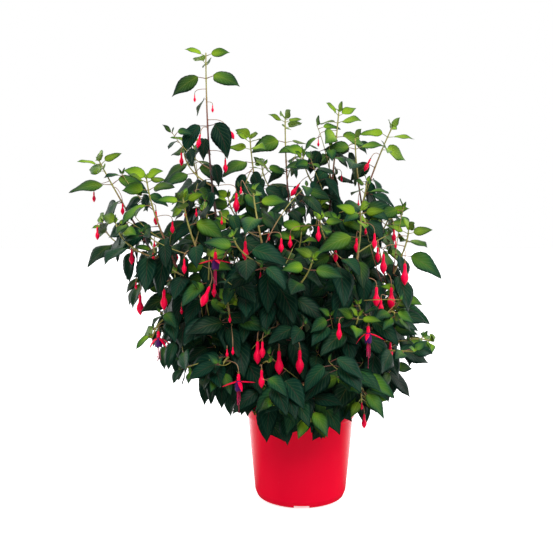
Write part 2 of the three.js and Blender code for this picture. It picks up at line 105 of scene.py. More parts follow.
# The stems, by name, a foot in the soil, two points that pull the curve, and a tip. The numbers are
# the way that the first pair of leaves faces, the count of side shoots, how far those point upwards,
# and how fresh the stem's leaves are beside the others'.
Stem = namedtuple("Stem", "name foot rise pull tip turn shoots lift fresh")
STEM_ROWS = [
    ("tall", (-18, 6), (-110, -5, 260), (-150, -5, 430), (-149, 0, 703), 0, 2, 0.6, 0.05),
    ("left_high", (-32, -6), (-150, -30, 250), (-262, -40, 440), (-308, -40, 530), 20, 2, 0.5, 0.15),
    ("left_front", (-24, -26), (-120, -70, 240), (-215, -95, 400), (-228, -90, 500), 60, 2, 0.5, 0.1),
    ("left_back", (-14, 24), (-70, 40, 300), (-178, 60, 470), (-180, 60, 575), 30, 2, 0.6, 0),
    ("front_left_high", (-12, -36), (-80, -80, 240), (-165, -115, 390), (-171, -120, 470), 10, 2, 0.4, 0),
    ("front_arch", (4, -42), (-15, -120, 230), (-62, -165, 400), (-71, -140, 478), 80, 3, 0.3, -0.05),
    ("mid_back_left", (-4, 8), (-30, 20, 300), (-75, 45, 470), (-82, 50, 575), 50, 2, 0.6, 0.15),
    ("mid_back", (10, 24), (0, 40, 300), (-25, 75, 480), (-24, 80, 612), 15, 2, 0.6, 0.15),
    ("mid_right", (18, 4), (30, 0, 300), (48, 5, 480), (60, 10, 612), 35, 3, 0.7, 0.2),
    ("right_high", (34, 12), (45, 15, 300), (95, 30, 480), (149, 40, 592), 70, 3, 0.6, 0.3),
    ("right", (38, -6), (80, -30, 260), (160, -60, 380), (160, -60, 425), 5, 3, 0.2, 0.1),
    ("front_right_high", (22, -22), (50, -80, 250), (85, -140, 390), (77, -150, 452), 0, 2, 0.3, 0.2),
    ("right_front", (42, -24), (70, -60, 260), (135, -125, 340), (130, -132, 300), 40, 3, 0.0, -0.25),
    ("right_low", (54, 0), (75, -25, 215), (150, -50, 275), (195, -60, 258), 25, 2, 0.1, 0.1),
    ("front_right_low", (28, -46), (45, -85, 225), (80, -160, 265), (78, -172, 190), 45, 2, -0.2, 0.2),
    ("front_low", (4, -60), (5, -90, 220), (5, -165, 240), (8, -172, 165), 30, 2, -0.2, 0.3),
    ("left_low", (-48, -20), (-95, -50, 260), (-200, -85, 350), (-222, -92, 268), 15, 3, -0.1, -0.1),
    ("front_left_low", (-32, -44), (-60, -80, 230), (-110, -140, 290), (-120, -150, 215), 55, 3, -0.1, -0.2),
    ("back_left", (-32, 44), (-60, 80, 260), (-120, 150, 400), (-130, 165, 440), 10, 2, 0.3, 0),
    ("back_right", (18, 48), (30, 90, 260), (60, 160, 400), (60, 175, 450), 40, 2, 0.3, 0),
    ("back_right_low", (46, 30), (80, 60, 240), (150, 110, 320), (165, 120, 290), 65, 3, 0.0, 0),
    ("back_low", (-8, 58), (-15, 90, 230), (-40, 170, 290), (-45, 185, 225), 30, 2, -0.1, 0),
]
STEMS = [Stem(*row) for row in STEM_ROWS]
STEM_STEPS = 9
SHOOT_STEPS = 3
# The radius at the tip and at the foot.
STEM_RADIUS = (1.0, 3.2)
SHOOT_RADIUS = (0.9, 1.5)
TWIG_RADIUS = (0.45, 0.9)
# Where side shoots spring, as shares of their stem from its tip, how long they are, and how far one
# turns, in degrees, at each new try to find it.
SHOOT_SHARES = (0.2, 0.62)
SHOOT_LENGTHS = (75, 150)
SHOOT_TURN = 25
SHOOT_TRIES = 14
GOLDEN_ANGLE = 137.5
# The same for twigs. Curves are numbered by order: a stem, its shoots, its twigs, the aimed twigs.
TWIGS = 6
TWIG_SHARES = (0.08, 0.72)
TWIG_LENGTHS = (45, 115)
TWIG_LIFT = (-0.2, 0.45)
TWIG_ORDER = 20
AIMED_ORDER = TWIG_ORDER + TWIGS
# How much further from the tip than they are the leaves on a twig seem to stand.
TWIG_RIPENESS = 28
# How much thicker a stem is at a pair of leaves, and how sharply that fades, in square millimetres.
KNOT_SWELL = 0.22
KNOT_SPREAD = 12
# The middle of the foliage, from which leaves point outwards.
HEART = (-40, 70)
# Twigs that fill out the bush where it shows gaps: the stem, the share of its length from the tip
# where the twig springs, and the twig's end.
AIMED_TWIGS = [
    ("mid_right", 0.22, (26, 8, 590)),
    ("mid_right", 0.3, (44, -8, 556)),
    ("mid_back_left", 0.2, (-58, 40, 532)),
    ("mid_back", 0.2, (-2, 70, 560)),
    ("right", 0.2, (150, -70, 458)),
    ("front_left_low", 0.21, (-26, -137, 161)),
    ("left_low", 0.17, (-170, -133, 239)),
    ("mid_back", 0.37, (-66, 5, 452)),
    ("right_high", 0.38, (137, -7, 390)),
    ("left_high", 0.47, (-208, -3, 242)),
    ("left_front", 0.1, (-247, -16, 481)),
    ("left_back", 0.15, (-165, -20, 481)),
    ("mid_right", 0.38, (51, -78, 442)),
    ("front_arch", 0.2, (4, -113, 488)),
    ("left_high", 0.35, (-258, 16, 340)),
    ("front_left_high", 0.08, (-180, -24, 407)),
    ("mid_back_left", 0.1, (-94, -15, 472)),
    ("front_low", 0.3, (-67, -115, 160)),
    ("left_front", 0.32, (-251, -127, 439)),
]

# The place from which the bush is seen in front, and its outline on the upright plane through the
# pot's middle as seen from there.
EYE = (-38.6, -1161, 426)
OUTLINE = [
    (-74, 127), (-110, 118), (-154, 134), (-157, 166), (-207, 176), (-242, 215), (-243, 273),
    (-281, 292), (-283, 372), (-322, 395), (-335, 423), (-318, 455), (-291, 468), (-300, 487),
    (-360, 502), (-337, 552), (-259, 549), (-256, 515), (-210, 518), (-217, 591), (-181, 605),
    (-159, 621), (-197, 692), (-168, 713), (-122, 710), (-138, 655), (-93, 636), (-96, 612),
    (-134, 599), (-109, 551), (-68, 549), (-61, 574), (-17, 588), (17, 571), (8, 596), (45, 612),
    (93, 605), (115, 580), (154, 593), (147, 512), (185, 474), (164, 449), (199, 372), (174, 350),
    (168, 300), (160, 272), (222, 258), (215, 238), (160, 242), (148, 200), (147, 163), (133, 110),
    (105, 108), (72, 138), (61, 130), (44, 112), (36, 98), (35, 64), (7, 100), (-17, 72), (-62, 88),
]
# The bush grows airy below a height that rises from its left side (x, z) to its middle (x, z).
AIRY_LEFT = (-230, 470)
AIRY_RIGHT = (-90, 565)
AIRY_DEPTH = 250
# The shares of the free places that take a leaf in the dense and in the airy part.
DENSE_SHARE = 0.9
AIRY_SHARE = 0.5
# Leaves between two pairs of the part stand from this pair on, and end before this far from the foot.
# Their numbers start at EXTRA_LEAF_KEY, to keep their draws apart from the others'.
EXTRA_FROM_PAIR = 3
BARE_FOOT = 40
EXTRA_LEAF_KEY = 40
# Stems take their room first, then shoots, then twigs: what is added to a chance from 0 to 1.
SHOOT_WAIT = 0.35
TWIG_WAIT = 0.7
# How far a leaf must turn its upper face to the front on an aimed twig: 1 is all the way.
LEAST_FACING = 0.35
# How far before a bloom's middle a leaf of the part may stand, as a share of the bloom's size.
PART_MARGIN = 0.12
# The size of the added leaves at the bush's top, and of those on twigs, beside the part's.
TOP_SHRINK = 0.62
TWIG_SHRINK = 0.85
# The smallest added leaf beside the part's smallest.
LEAST_SHRINK = 0.6

# The leaves
LEAF_LENGTH = 62
SMALLEST_LEAF = 24
# Above this length a blade of the part has one step more.
LONG_LEAF = 46
# The first pair of leaves from a tip, the gap to the next, how much each gap grows, and the widest.
FIRST_PAIR = 5
PAIR_GAP = 12
GAP_GROWTH = 10
LEAF_SPACING = 42
# How much a leaf may differ from its rule: turn, tilt and roll in degrees, size as a share.
TURN_SPREAD = 16
TILT_SPREAD = 14
BANK_SPREAD = 18
SIZE_DRAW = (0.82, 1.05)
# The turn and tilt in degrees and the size of a leaf at each try to find or to place it.
LEAF_TRIES = [
    (0, 0, 1), (18, 8, 1), (-18, -8, 1), (34, -14, 0.92), (-34, 12, 0.92), (10, 26, 0.85),
    (-10, -26, 0.8), (50, 0, 0.75),
]
# How far from the tip leaves are full grown, are old, and have their darkest look.
GROWN_AT = 45
AGED_AT = 110
DARK_AT = 85
# The rise at the base and the sag to the tip, in degrees, of the youngest and of the oldest leaves.
LEAF_RISE = (44, -50)
LEAF_SAG = (18, 36)
# The height under which leaves start to hang more, where they hang most, and by how many degrees.
LOW_START = 330
LOW_END = 130
LOW_HANG = 16
# Where a stem climbs by less than this many degrees, its young leaves rise less, by a share of what
# is missing.
DROOP_FROM = 30
DROOP_SHARE = 0.6
# How strongly young and old leaves point out of the bush. How the light draws their faces: from
# above, from the front, and from outside on young and on old leaves. How far, in radians, a blade
# rolls at most to face it.
OUTWARD_PULL = (0.25, 0.65)
LIGHT_ABOVE = 0.7
LIGHT_IN_FRONT = 0.7
LIGHT_OUTSIDE = (0.5, 0.9)
STEEPEST_BANK = 1.15
# The length of a leaf's stalk, and what is added to it as a share of the blade's length.
STALK_LENGTH = 4
STALK_SHARE = 0.17
# How much darker, as if older, leaves low in the bush look, which is painted shade, and how much that look
# varies.
LOW_SHADE = 0.4
LOOK_SPREAD = 0.18
# How much older than by their place the leaves of shoots, twigs and aimed twigs look, and how much a
# fresh stem takes from that.
SHOOT_START = 0.15
TWIG_START = 0.58
AIMED_START = 0.4
FRESH_SHARE = 0.4
# The length and the rise in degrees of each leaf round a growing tip, the innermost first.
ROSETTE = [(10, 78), (9, 74), (21, 54), (19, 50), (32, 32), (29, 28)]
TWIG_ROSETTE = ROSETTE[:4]
ROSETTE_SAG = math.radians(26)

# The middle of each bud and flower and its length, in the order of the part's nodes.
Bloom = namedtuple("Bloom", "x y z size lean is_open", defaults=(0, False))
BLOOM_ROWS = [
    (-65, -150, 257, 36), (-35, -155, 244, 38), (-6, -150, 244, 38), (150, -90, 363, 36),
    (133, -75, 326, 38), (122, -65, 377, 34), (103, -130, 333, 32), (-247, -50, 314, 36),
    (-202, -105, 327, 34), (-83, -120, 398, 32), (-102, -5, 471, 34), (-136, -155, 336, 34, -0.4),
    (-122, -165, 383, 34, 0, True), (-213, -90, 264, 34, 0, True), (-91, -165, 215, 34, 0, True),
    (88, -160, 281, 34, 0, True), (-257, -60, 387, 26), (-217, -105, 383, 24), (-169, -130, 376, 24),
    (-59, -172, 224, 28), (47, -170, 289, 26), (129, -95, 251, 26), (87, -130, 154, 24),
    (-9, -5, 490, 26, -0.7), (-219, -65, 445, 24), (-193, 35, 542, 24), (-119, -5, 528, 24),
    (-158, -25, 564, 24, -0.2), (-112, 0, 580, 26, 0.6), (76, -115, 406, 24), (99, -135, 412, 24),
    (147, -5, 419, 24), (-32, -150, 406, 22), (20, -140, 422, 24), (107, 15, 531, 24, -0.5),
    (-312, -45, 422, 22),
]
BLOOMS = [Bloom(*row) for row in BLOOM_ROWS]
# The buds too small or too many for nodes of their own.
SMALL_BUD_ROWS = [
    (-58, -165, 263, 26), (114, -100, 317, 24), (-19, -110, 410, 20), (-191, -90, 431, 20),
    (-127, -130, 342, 22), (114, -60, 390, 26), (45, -130, 392, 22), (-274, -40, 459, 20),
    (-320, -30, 478, 18), (-167, 0, 633, 13), (-139, 0, 617, 13), (-173, -80, 451, 13),
    (-157, -80, 452, 13), (-118, -100, 440, 13), (-91, -80, 485, 13), (29, 30, 567, 13),
    (66, 20, 510, 13), (91, 0, 469, 13), (-50, -110, 417, 13), (92, -90, 426, 13), (141, -60, 405, 13),
    (-61, -140, 362, 13), (-221, -70, 406, 13), (-251, -60, 343, 13), (-176, -110, 311, 13),
    (-107, -160, 257, 13), (-99, -160, 260, 13), (-103, -160, 305, 13), (81, -150, 181, 13),
    (-100, 150, 375, 28), (-70, 165, 325, 26), (-20, 168, 300, 28), (30, 165, 385, 28),
    (72, 150, 340, 26), (112, 135, 300, 26), (140, 118, 248, 24), (-150, 120, 365, 26),
    (-172, 90, 310, 26), (0, 172, 245, 24), (95, 120, 405, 24), (-110, 135, 268, 26),
    (150, 75, 375, 24), (-205, 50, 385, 24),
]
SMALL_BUDS = [Bloom(*row) for row in SMALL_BUD_ROWS]


def mix(start, end, share):
    return start + (end - start) * share


def clamp(value, low=0.0, high=1.0):
    return min(max(value, low), high)


# The fractions of a tall wave are the draws.
SALTS = (127.1, 311.7, 74.7, 269.5)
WAVE_HEIGHT = 43758.5453


def chance(*keys):
    """A repeatable draw from 0 to 1 for each set of up to four indices."""
    wave = math.sin(sum((key + 1) * salt for key, salt in zip(keys, SALTS))) * WAVE_HEIGHT
    return wave - math.floor(wave)


def spread(width, *keys):
    """A draw from -width to width."""
    return (chance(*keys) - 0.5) * 2 * width


def bezier(controls, t):
    a, b, c, d = controls
    return a * (1 - t) ** 3 + b * (3 * t * (1 - t) ** 2) + c * (3 * t * t * (1 - t)) + d * t**3


def array_of(vector):
    return np.array(tuple(vector))


class Path:
    """A curve in straight steps from its tip down, as the part has it, and the smooth curve."""

    def __init__(self, steps, *controls):
        self.controls = controls
        self.steps = steps
        self.points = [bezier(controls, 1 - i / steps) for i in range(steps + 1)]
        self.distances = [0.0]
        for near, far in zip(self.points, self.points[1:]):
            self.distances.append(self.distances[-1] + (far - near).length)
        self.length = self.distances[-1]

    def step_at(self, distance):
        i = 1
        while i < self.steps and self.distances[i] < distance:
            i += 1
        share = (distance - self.distances[i - 1]) / (self.distances[i] - self.distances[i - 1])
        return i, share

    def place(self, distance):
        """The point at a distance from the tip, and the way that the path runs there."""
        i, share = self.step_at(distance)
        upper, lower = self.points[i - 1], self.points[i]
        return upper.lerp(lower, share), (upper - lower).normalized()

    def smooth(self, distance):
        """The point of the smooth curve at a distance from the tip."""
        i, share = self.step_at(distance)
        return bezier(self.controls, 1 - (i - 1 + share) / self.steps)


Curve = namedtuple("Curve", "path radius order")
Leaf = namedtuple("Leaf", "root towards level rise sag bank length base tip age tone")


def outwards(point):
    """The way out of the bush, level and away from the middle of its foliage."""
    return Vector((point.x - HEART[0], point.y - HEART[1], 0)).normalized()


def sideways(way, turn):
    """A direction square to "way", turned round it from where "turn" degrees points."""
    angle = math.radians(turn)
    reference = Vector((math.cos(angle), math.sin(angle), 0.01))
    return (reference - way * reference.dot(way)).normalized()


def main_curve(stem):
    """The main stem, from its tip down into its hole in the soil."""
    foot = Vector((*stem.foot, SOIL_TOP - HOLE_DEPTH + GAP))
    path = Path(STEM_STEPS, foot, Vector(stem.rise), Vector(stem.pull), Vector(stem.tip))
    return Curve(path, STEM_RADIUS, 0)


def shoot_curve(main, stem, index, j, attempt):
    """A side shoot as the part has it, by the same rule and the same draws."""
    share = mix(*SHOOT_SHARES, (j + spread(0.2, index, j, 1) + 0.5) / stem.shoots)
    point, way = main.place(main.length * share)
    turn = stem.turn + GOLDEN_ANGLE * (j + 1) + SHOOT_TURN * attempt
    side = (sideways(way, turn) + outwards(point) * 0.5).normalized()
    length = mix(*SHOOT_LENGTHS, chance(index, j, 2)) * mix(0.8, 1.1, share)
    start = (way * 0.5 + side * 0.85).normalized()
    bend = point + start * length * 0.7 + UP * length * stem.lift * 0.15
    end = point + start * length * 0.75 + UP * length * stem.lift * 0.7
    path = Path(SHOOT_STEPS, point, point + start * length * 0.35, bend, end)
    return Curve(path, SHOOT_RADIUS, j + 1)


def nodes_of(path):
    """Where a pair of leaves stands on a curve: closer together towards the tip."""
    found = []
    distance = FIRST_PAIR
    while distance < path.length - PAIR_GAP:
        found.append(distance)
        distance += min(LEAF_SPACING, PAIR_GAP + GAP_GROWTH * (len(found) - 1))
    return found


def aim(level, tilt):
    """A level direction, tilted upwards."""
    return level * math.cos(tilt) + UP * math.sin(tilt)


def bank_to(level, axis, light):
    """How far a blade rolls about its own axis to turn its upper face to the light."""
    across = UP.cross(level)
    face = axis.cross(across)
    return clamp(math.atan2(-light.dot(across), light.dot(face)), -STEEPEST_BANK, STEEPEST_BANK)


def leaf_at(curve, distance, stem, index, k, side, attempt, shrink=1):
    """One leaf as the part has it, by the same rule and the same draws."""
    point, way = curve.path.place(distance)
    keys = (index, curve.order, k * 2 + side)
    turned, tilted, scale = LEAF_TRIES[attempt % len(LEAF_TRIES)]
    ripe = distance + (TWIG_RIPENESS if curve.order >= TWIG_ORDER else 0)
    age = clamp(ripe / AGED_AT)
    low = clamp((LOW_START - point.z) / (LOW_START - LOW_END))
    outward = outwards(point)
    angle = stem.turn + 90 * k + 180 * side + spread(TURN_SPREAD, *keys, 0) + turned
    out = (sideways(way, angle) + outward * mix(*OUTWARD_PULL, age)).normalized()
    grown = mix(0.4, 1, clamp(ripe / GROWN_AT)) * mix(*SIZE_DRAW, chance(*keys, 1))
    length = LEAF_LENGTH * grown * scale * shrink
    level = Vector((out.x, out.y, 0)).normalized()
    droop = min(0, math.degrees(math.asin(clamp(way.z, -1, 1))) - DROOP_FROM) * DROOP_SHARE
    hang = LOW_HANG * low - spread(TILT_SPREAD, *keys, 2) - tilted
    rise = math.radians(mix(LEAF_RISE[0] + droop, LEAF_RISE[1], math.sqrt(age)) - hang)
    sag = math.radians(mix(*LEAF_SAG, age))
    light = UP * LIGHT_ABOVE + outward * mix(*LIGHT_OUTSIDE, age) + FRONT * LIGHT_IN_FRONT
    towards = (out + way * 0.4 + aim(level, rise) * 0.5).normalized()
    base = point + towards * (STALK_LENGTH + length * STALK_SHARE)
    bank = math.radians(spread(BANK_SPREAD, *keys, 3)) + bank_to(level, aim(level, rise - sag / 2), light)
    reach = Vector((0, 0, 0))
    for start, end in leaf_steps(length):
        reach += aim(level, rise - sag * end) * length * (end - start)
    # Leaves low in the bush take a darker look: painted shade.
    older = head_start(stem, curve) + LOW_SHADE * low
    look = clamp(distance / DARK_AT + older + spread(LOOK_SPREAD, *keys, 1))
    root = curve.path.smooth(distance)
    return Leaf(root, towards, level, rise, sag, bank, length, base, base + reach, look, chance(*keys))


def head_start(stem, curve):
    """How much older a curve's leaves look than their place on it says."""
    if curve.order == 0:
        return -stem.fresh
    start = SHOOT_START
    if curve.order >= TWIG_ORDER:
        start = AIMED_START if curve.order >= AIMED_ORDER else TWIG_START
    return start - FRESH_SHARE * stem.fresh


def rosette(curve, stem, index):
    """The small upright leaves round a growing tip."""
    point, way = curve.path.place(0)
    outward = outwards(point)
    leaves = []
    for i, (length, rise) in enumerate(TWIG_ROSETTE if curve.order >= TWIG_ORDER else ROSETTE):
        keys = (index, curve.order, i)
        turn = stem.turn + 45 * (i // 2) + 180 * (i % 2) + spread(20, *keys, 8)
        level = sideways(way, turn) + outward * 0.1
        level = Vector((level.x, level.y, 0)).normalized()
        tilt = math.radians(rise + spread(10, *keys, 9))
        length *= mix(0.85, 1.15, chance(*keys, 7))
        towards = (way + level * 0.6).normalized()
        base = point + towards * (1 + length * 0.1)
        axis = aim(level, tilt - ROSETTE_SAG / 2)
        bank = bank_to(level, axis, UP * 0.5 + outward + FRONT)
        tip = base + axis * length
        age = clamp(0.06 + 0.7 * head_start(stem, curve) + spread(0.06, *keys, 8))
        tone = chance(*keys, 8)
        leaves.append(Leaf(point, towards, level, tilt, ROSETTE_SAG, bank, length, base, tip, age, tone))
    return leaves


def leaf_steps(length):
    """The steps in which the part's blade runs from its base to its tip."""
    stations = (0, 0.2, 0.5, 0.8, 1) if length > LONG_LEAF else (0, 0.3, 0.72, 1)
    return list(zip(stations, stations[1:]))


# How near, in millimetres, a mesh point of the part has to be to count as the one looked for.
SAME_POINT = 0.15


class Plant:
    """A leafy stem: its curves, its leaves and the mesh points of its node in the part."""

    def __init__(self, stem, index):
        self.stem = stem
        self.index = index
        self.node = "leafy_stem_" + stem.name
        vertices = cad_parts[self.node].data.vertices
        self.corners = KDTree(len(vertices))
        for i, vertex in enumerate(vertices):
            self.corners.insert(vertex.co / MM, i)
        self.corners.balance()
        self.curves = [main_curve(stem)]
        self.twigs = []
        self.leaves = []
        self.free_places = []

    def has(self, point):
        """Whether the part's node has a mesh point there."""
        return self.corners.find(point)[2] < SAME_POINT

    def find_shoots(self):
        main = self.curves[0].path
        for j in range(self.stem.shoots):
            for attempt in range(SHOOT_TRIES):
                curve = shoot_curve(main, self.stem, self.index, j, attempt)
                if any(self.has(corner) for corner in tip_corners(curve)):
                    self.curves.append(curve)
                    break

    def find_leaves(self):
        for curve in self.curves:
            for k, distance in enumerate(nodes_of(curve.path)):
                for side in (0, 1):
                    self.find_leaf(curve, distance, k, side)
        self.leaves = [leaf for leaf in self.leaves if not hides_bloom(plain_blade(leaf)[0], PART_MARGIN)]

    def find_leaf(self, curve, distance, k, side):
        for attempt in range(len(LEAF_TRIES)):
            leaf = leaf_at(curve, distance, self.stem, self.index, k, side, attempt)
            if leaf.length < SMALLEST_LEAF:
                break
            if self.has(leaf.tip):
                self.leaves.append(leaf)
                return
        self.free_places.append((curve, distance, k, side, 0))

    def find_twigs(self):
        main = self.curves[0].path
        twigs = [twig_curve(main, self.stem, self.index, j) for j in range(TWIGS)]
        self.twigs = [twig for twig in twigs if has_room_for_twig(twig.path.points)]


def tip_corners(curve):
    """The corners of a shoot's three-sided end in the part."""
    points = curve.path.points
    across = (points[0] - points[-1]).cross(UP).normalized()
    way = (points[0] - points[1]).normalized()
    first = (across - way * across.dot(way)).normalized()
    second = way.cross(first)
    angles = [2 * math.pi * i / 3 for i in range(3)]
    radius = curve.radius[0]
    return [points[0] + (first * math.cos(a) + second * math.sin(a)) * radius for a in angles]


def tube_rings(points, radii, sides):
    """Rings along a line of points, turned as little as can be from each to the next."""
    points = np.array([tuple(p) for p in points], float)
    ways = np.gradient(points, axis=0)
    ways /= np.linalg.norm(ways, axis=1)[:, None]
    helper = np.array((0.3, 1.0, 0.1)) if abs(ways[0][1]) < 0.8 else np.array((1.0, 0.2, 0.1))
    angles = np.arange(sides) * 2 * math.pi / sides
    rings = []
    for point, way, radius in zip(points, ways, radii):
        first = helper - way * helper.dot(way)
        first /= np.linalg.norm(first)
        helper = first
        second = np.cross(way, first)
        rings.append(point + radius * (np.outer(np.cos(angles), first) + np.outer(np.sin(angles), second)))
    return rings


def add_object(name, data):
    """A new object in the scene."""
    made = bpy.data.objects.new(name, data)
    bpy.context.scene.collection.objects.link(made)
    return made


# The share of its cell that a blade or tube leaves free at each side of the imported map.
MAP_MARGIN = 0.04


class Surface:
    """Collects the faces of one piece, with its materials, its maps and its values at points."""

    def __init__(self):
        self.points = []
        self.ages = []
        self.tones = []
        self.faces = []
        self.slots = []
        self.spots = []
        self.patches = []
        self.patch = 0

    def loft(self, rings, slots, ages, tone=0.5, cap=0):
        """Joins rings that run anticlockwise round the way of travel, each of the same count, but
        the first and the last may be one point. "slots" has the material of each column."""
        sides = max(len(ring) for ring in rings)
        last = len(rings) - 1
        rows = []
        for ring, age in zip(rings, ages):
            rows.append([len(self.points) + j % len(ring) for j in range(sides + 1)])
            self.points.extend(ring)
            self.ages.extend([age] * len(ring))
            self.tones.extend([tone] * len(ring))
        halves = sorted(set(slots))
        for i in range(last):
            for j in range(sides):
                corners = [(j, i), (j + 1, i), (j + 1, i + 1), (j, i + 1)]
                corners = [(a, b) for a, b in corners if a == j or len(rings[b]) > 1]
                self.faces.append([rows[b][a] for a, b in corners])
                self.spots.append([(a / sides, b / last) for a, b in corners])
                self.slots.append(slots[j])
                self.patches.append(self.patch + halves.index(slots[j]))
        for i, order in ((0, -1), (last, 1)):
            if len(rings[i]) > 1:
                self.faces.append(rows[i][:-1][::order])
                around = [2 * math.pi * j / sides for j in range(sides)][::order]
                self.spots.append([(0.5 + 0.5 * math.cos(a), 0.5 + 0.5 * math.sin(a)) for a in around])
                self.slots.append(cap)
                self.patches.append(self.patch + len(halves))
        self.patch += len(halves) + 1

    def tube(self, points, radii, sides, slot, ages, tone=0.5):
        """A round rod of one material along a line of points."""
        self.loft(tube_rings(points, radii, sides), [slot] * sides, ages, tone, slot)

    def build(self, name, materials):
        """A new object of what has been added, with the values that its materials read."""
        mesh = bpy.data.meshes.new(name)
        mesh.from_pydata(np.array(self.points) * MM, [], self.faces)
        for material in materials:
            mesh.materials.append(material)
        mesh.polygons.foreach_set("material_index", self.slots)
        mesh.polygons.foreach_set("use_smooth", [True] * len(self.faces))
        for label, values in (("age", self.ages), ("tone", self.tones)):
            mesh.attributes.new(label, "FLOAT", "POINT").data.foreach_set("value", values)
        self.add_maps(mesh)
        mesh.validate()
        return add_object(name, mesh)

    def add_maps(self, mesh):
        """The map on each blade or tube for itself, and one that packs them all side by side."""
        cells = math.ceil(math.sqrt(self.patch))
        spots = np.array([spot for face in self.spots for spot in face])
        corner_patches = np.repeat(self.patches, [len(face) for face in self.faces])
        corner = np.stack([corner_patches % cells, corner_patches // cells], axis=1)
        mesh.uv_layers.new(name="blade").data.foreach_set("uv", spots.ravel())
        packed = (corner + MAP_MARGIN + (1 - 2 * MAP_MARGIN) * spots) / cells
        mesh.uv_layers.new(name="OFBake").data.foreach_set("uv", packed.ravel())


# The outline of a leaf: rounded at its base, widest below the middle, and drawn out to its tip.
BLADE_STATIONS = 17
BLADE_HALF_WIDTH = 0.28
COLUMNS = np.array([1, 0.66, 0.3, 0, -0.3, -0.66, -1])
UNDER_COLUMNS = COLUMNS[-2:0:-1]
# The teeth and the waves of a blade's edge, as shares of its width and length.
TOOTH_DEPTH = 0.02
TOOTHLESS_BASE = 0.15
EDGE_WAVE = 0.026
EDGE_WAVES = 9
NARROWEST = 0.35
DRAWN_TIP = 0.03


def blade_outline(t):
    """Half a blade's width at a share of its length, as a share of that length."""
    body = np.sin(math.pi * t**0.72) ** 0.82
    return BLADE_HALF_WIDTH * body * (1 - 0.28 * t**2)


def blade_rings(leaf, look):
    """The rings of a thin leaf blade: its upper face, then its underside with a raised midrib."""
    t = np.linspace(0, 1, BLADE_STATIONS)
    tilt = leaf.rise - leaf.sag * t
    level, up = array_of(leaf.level), array_of(UP)
    axis = np.outer(np.cos(tilt), level) + np.outer(np.sin(tilt), up)
    flat = np.cross(up, level)
    turned = np.cross(axis, flat)
    across = flat * math.cos(leaf.bank) + turned * math.sin(leaf.bank)
    face = turned * math.cos(leaf.bank) - flat * math.sin(leaf.bank)
    steps = np.zeros_like(axis)
    steps[1:] = axis[1:] * leaf.length / (BLADE_STATIONS - 1)
    centre = array_of(leaf.base) + np.cumsum(steps, axis=0)
    teeth = 1 + TOOTH_DEPTH * np.where(np.arange(BLADE_STATIONS) % 2, 1, -1) * (t > TOOTHLESS_BASE)
    half = np.maximum(leaf.length * blade_outline(t) * teeth, NARROWEST)
    columns = np.concatenate([COLUMNS, UNDER_COLUMNS])
    under = np.concatenate([np.zeros(len(COLUMNS)), np.ones(len(UNDER_COLUMNS))])
    ribbed = np.where(np.abs(columns) < 0.1, look.rib_depth, look.thickness) / MM
    wave = np.sin(t * EDGE_WAVES + leaf.tone * 6.3)[:, None] * np.abs(columns) * leaf.length * EDGE_WAVE
    lifted = look.fold * mix(0.5, 1.6, leaf.tone)
    fold = half[:, None] * (lifted * np.abs(columns) - look.curl * columns**2)
    height = fold + wave * np.sign(columns) - ribbed * under * np.minimum(half / 2, 1)[:, None]
    rings = (
        centre[:, None]
        + across[:, None] * (columns * half[:, None])[:, :, None]
        + face[:, None] * height[:, :, None]
    )
    return [*rings[:-1], centre[-1:] + axis[-1:] * leaf.length * DRAWN_TIP]


LEAF_UPPER, LEAF_UNDER, BARK, STALK = range(4)
BLADE_SLOTS = [LEAF_UPPER] * 6 + [LEAF_UNDER] * 6
STALK_RADIUS = (0.85, 0.5)
# The distance from the tip over which a stem turns to bark, and that between its rings of points.
BARK_LENGTH = 230
RING_GAP = 5
STEM_SIDES = 8
TWIG_SIDES = 6


def add_leaf(surface, leaf, look):
    """A blade, and the stalk that curves from its stem into its midrib."""
    ages = np.clip(leaf.age + look.ripe_tip * (np.linspace(0, 1, BLADE_STATIONS) - 0.35), 0, 1)
    surface.loft(blade_rings(leaf, look), BLADE_SLOTS, list(ages), leaf.tone, LEAF_UNDER)
    base = leaf.base + aim(leaf.level, leaf.rise) * leaf.length * 0.03
    pull = leaf.root.lerp(leaf.base, 0.6) + leaf.towards * 2
    points = [leaf.root.lerp(pull, t).lerp(pull.lerp(base, t), t) for t in np.linspace(0, 1, 6)]
    radii = np.linspace(*STALK_RADIUS, 6) * mix(0.6, 1, clamp(leaf.length / 60))
    surface.tube(points, radii, 6, STALK, [leaf.age] * 6, leaf.tone)


def add_stem(surface, curve):
    """A stem, shoot or twig from its foot to its tip, a little thicker at each pair of leaves."""
    path = curve.path
    count = max(6, round(path.length / RING_GAP))
    distances = np.linspace(path.length, 0, count)
    knots = np.array(nodes_of(path) or [FIRST_PAIR])
    swell = np.exp(-((distances[:, None] - knots) ** 2) / KNOT_SPREAD).sum(axis=1)
    radii = mix(*curve.radius, distances / path.length) * (1 + KNOT_SWELL * swell)
    sides = TWIG_SIDES if curve.order >= TWIG_ORDER else STEM_SIDES
    ages = list(np.clip(distances / BARK_LENGTH, 0, 1))
    surface.tube([path.smooth(d) for d in distances], radii, sides, BARK, ages)


class Room:
    """What stands in the bush already, to keep new leaves clear of it."""

    def __init__(self):
        self.trees = []
        self.boxes = np.zeros((0, 6))

    def add(self, points, faces):
        self.trees.append(BVHTree.FromPolygons(points, faces))
        low, high = np.min(points, axis=0), np.max(points, axis=0)
        self.boxes = np.vstack([self.boxes, np.concatenate([low, high])])

    def takes(self, points, faces):
        low, high = np.min(points, axis=0), np.max(points, axis=0)
        near = (self.boxes[:, :3] < high).all(axis=1) & (self.boxes[:, 3:] > low).all(axis=1)
        tree = BVHTree.FromPolygons(points, faces)
        return not any(tree.overlap(self.trees[i]) for i in np.nonzero(near)[0])


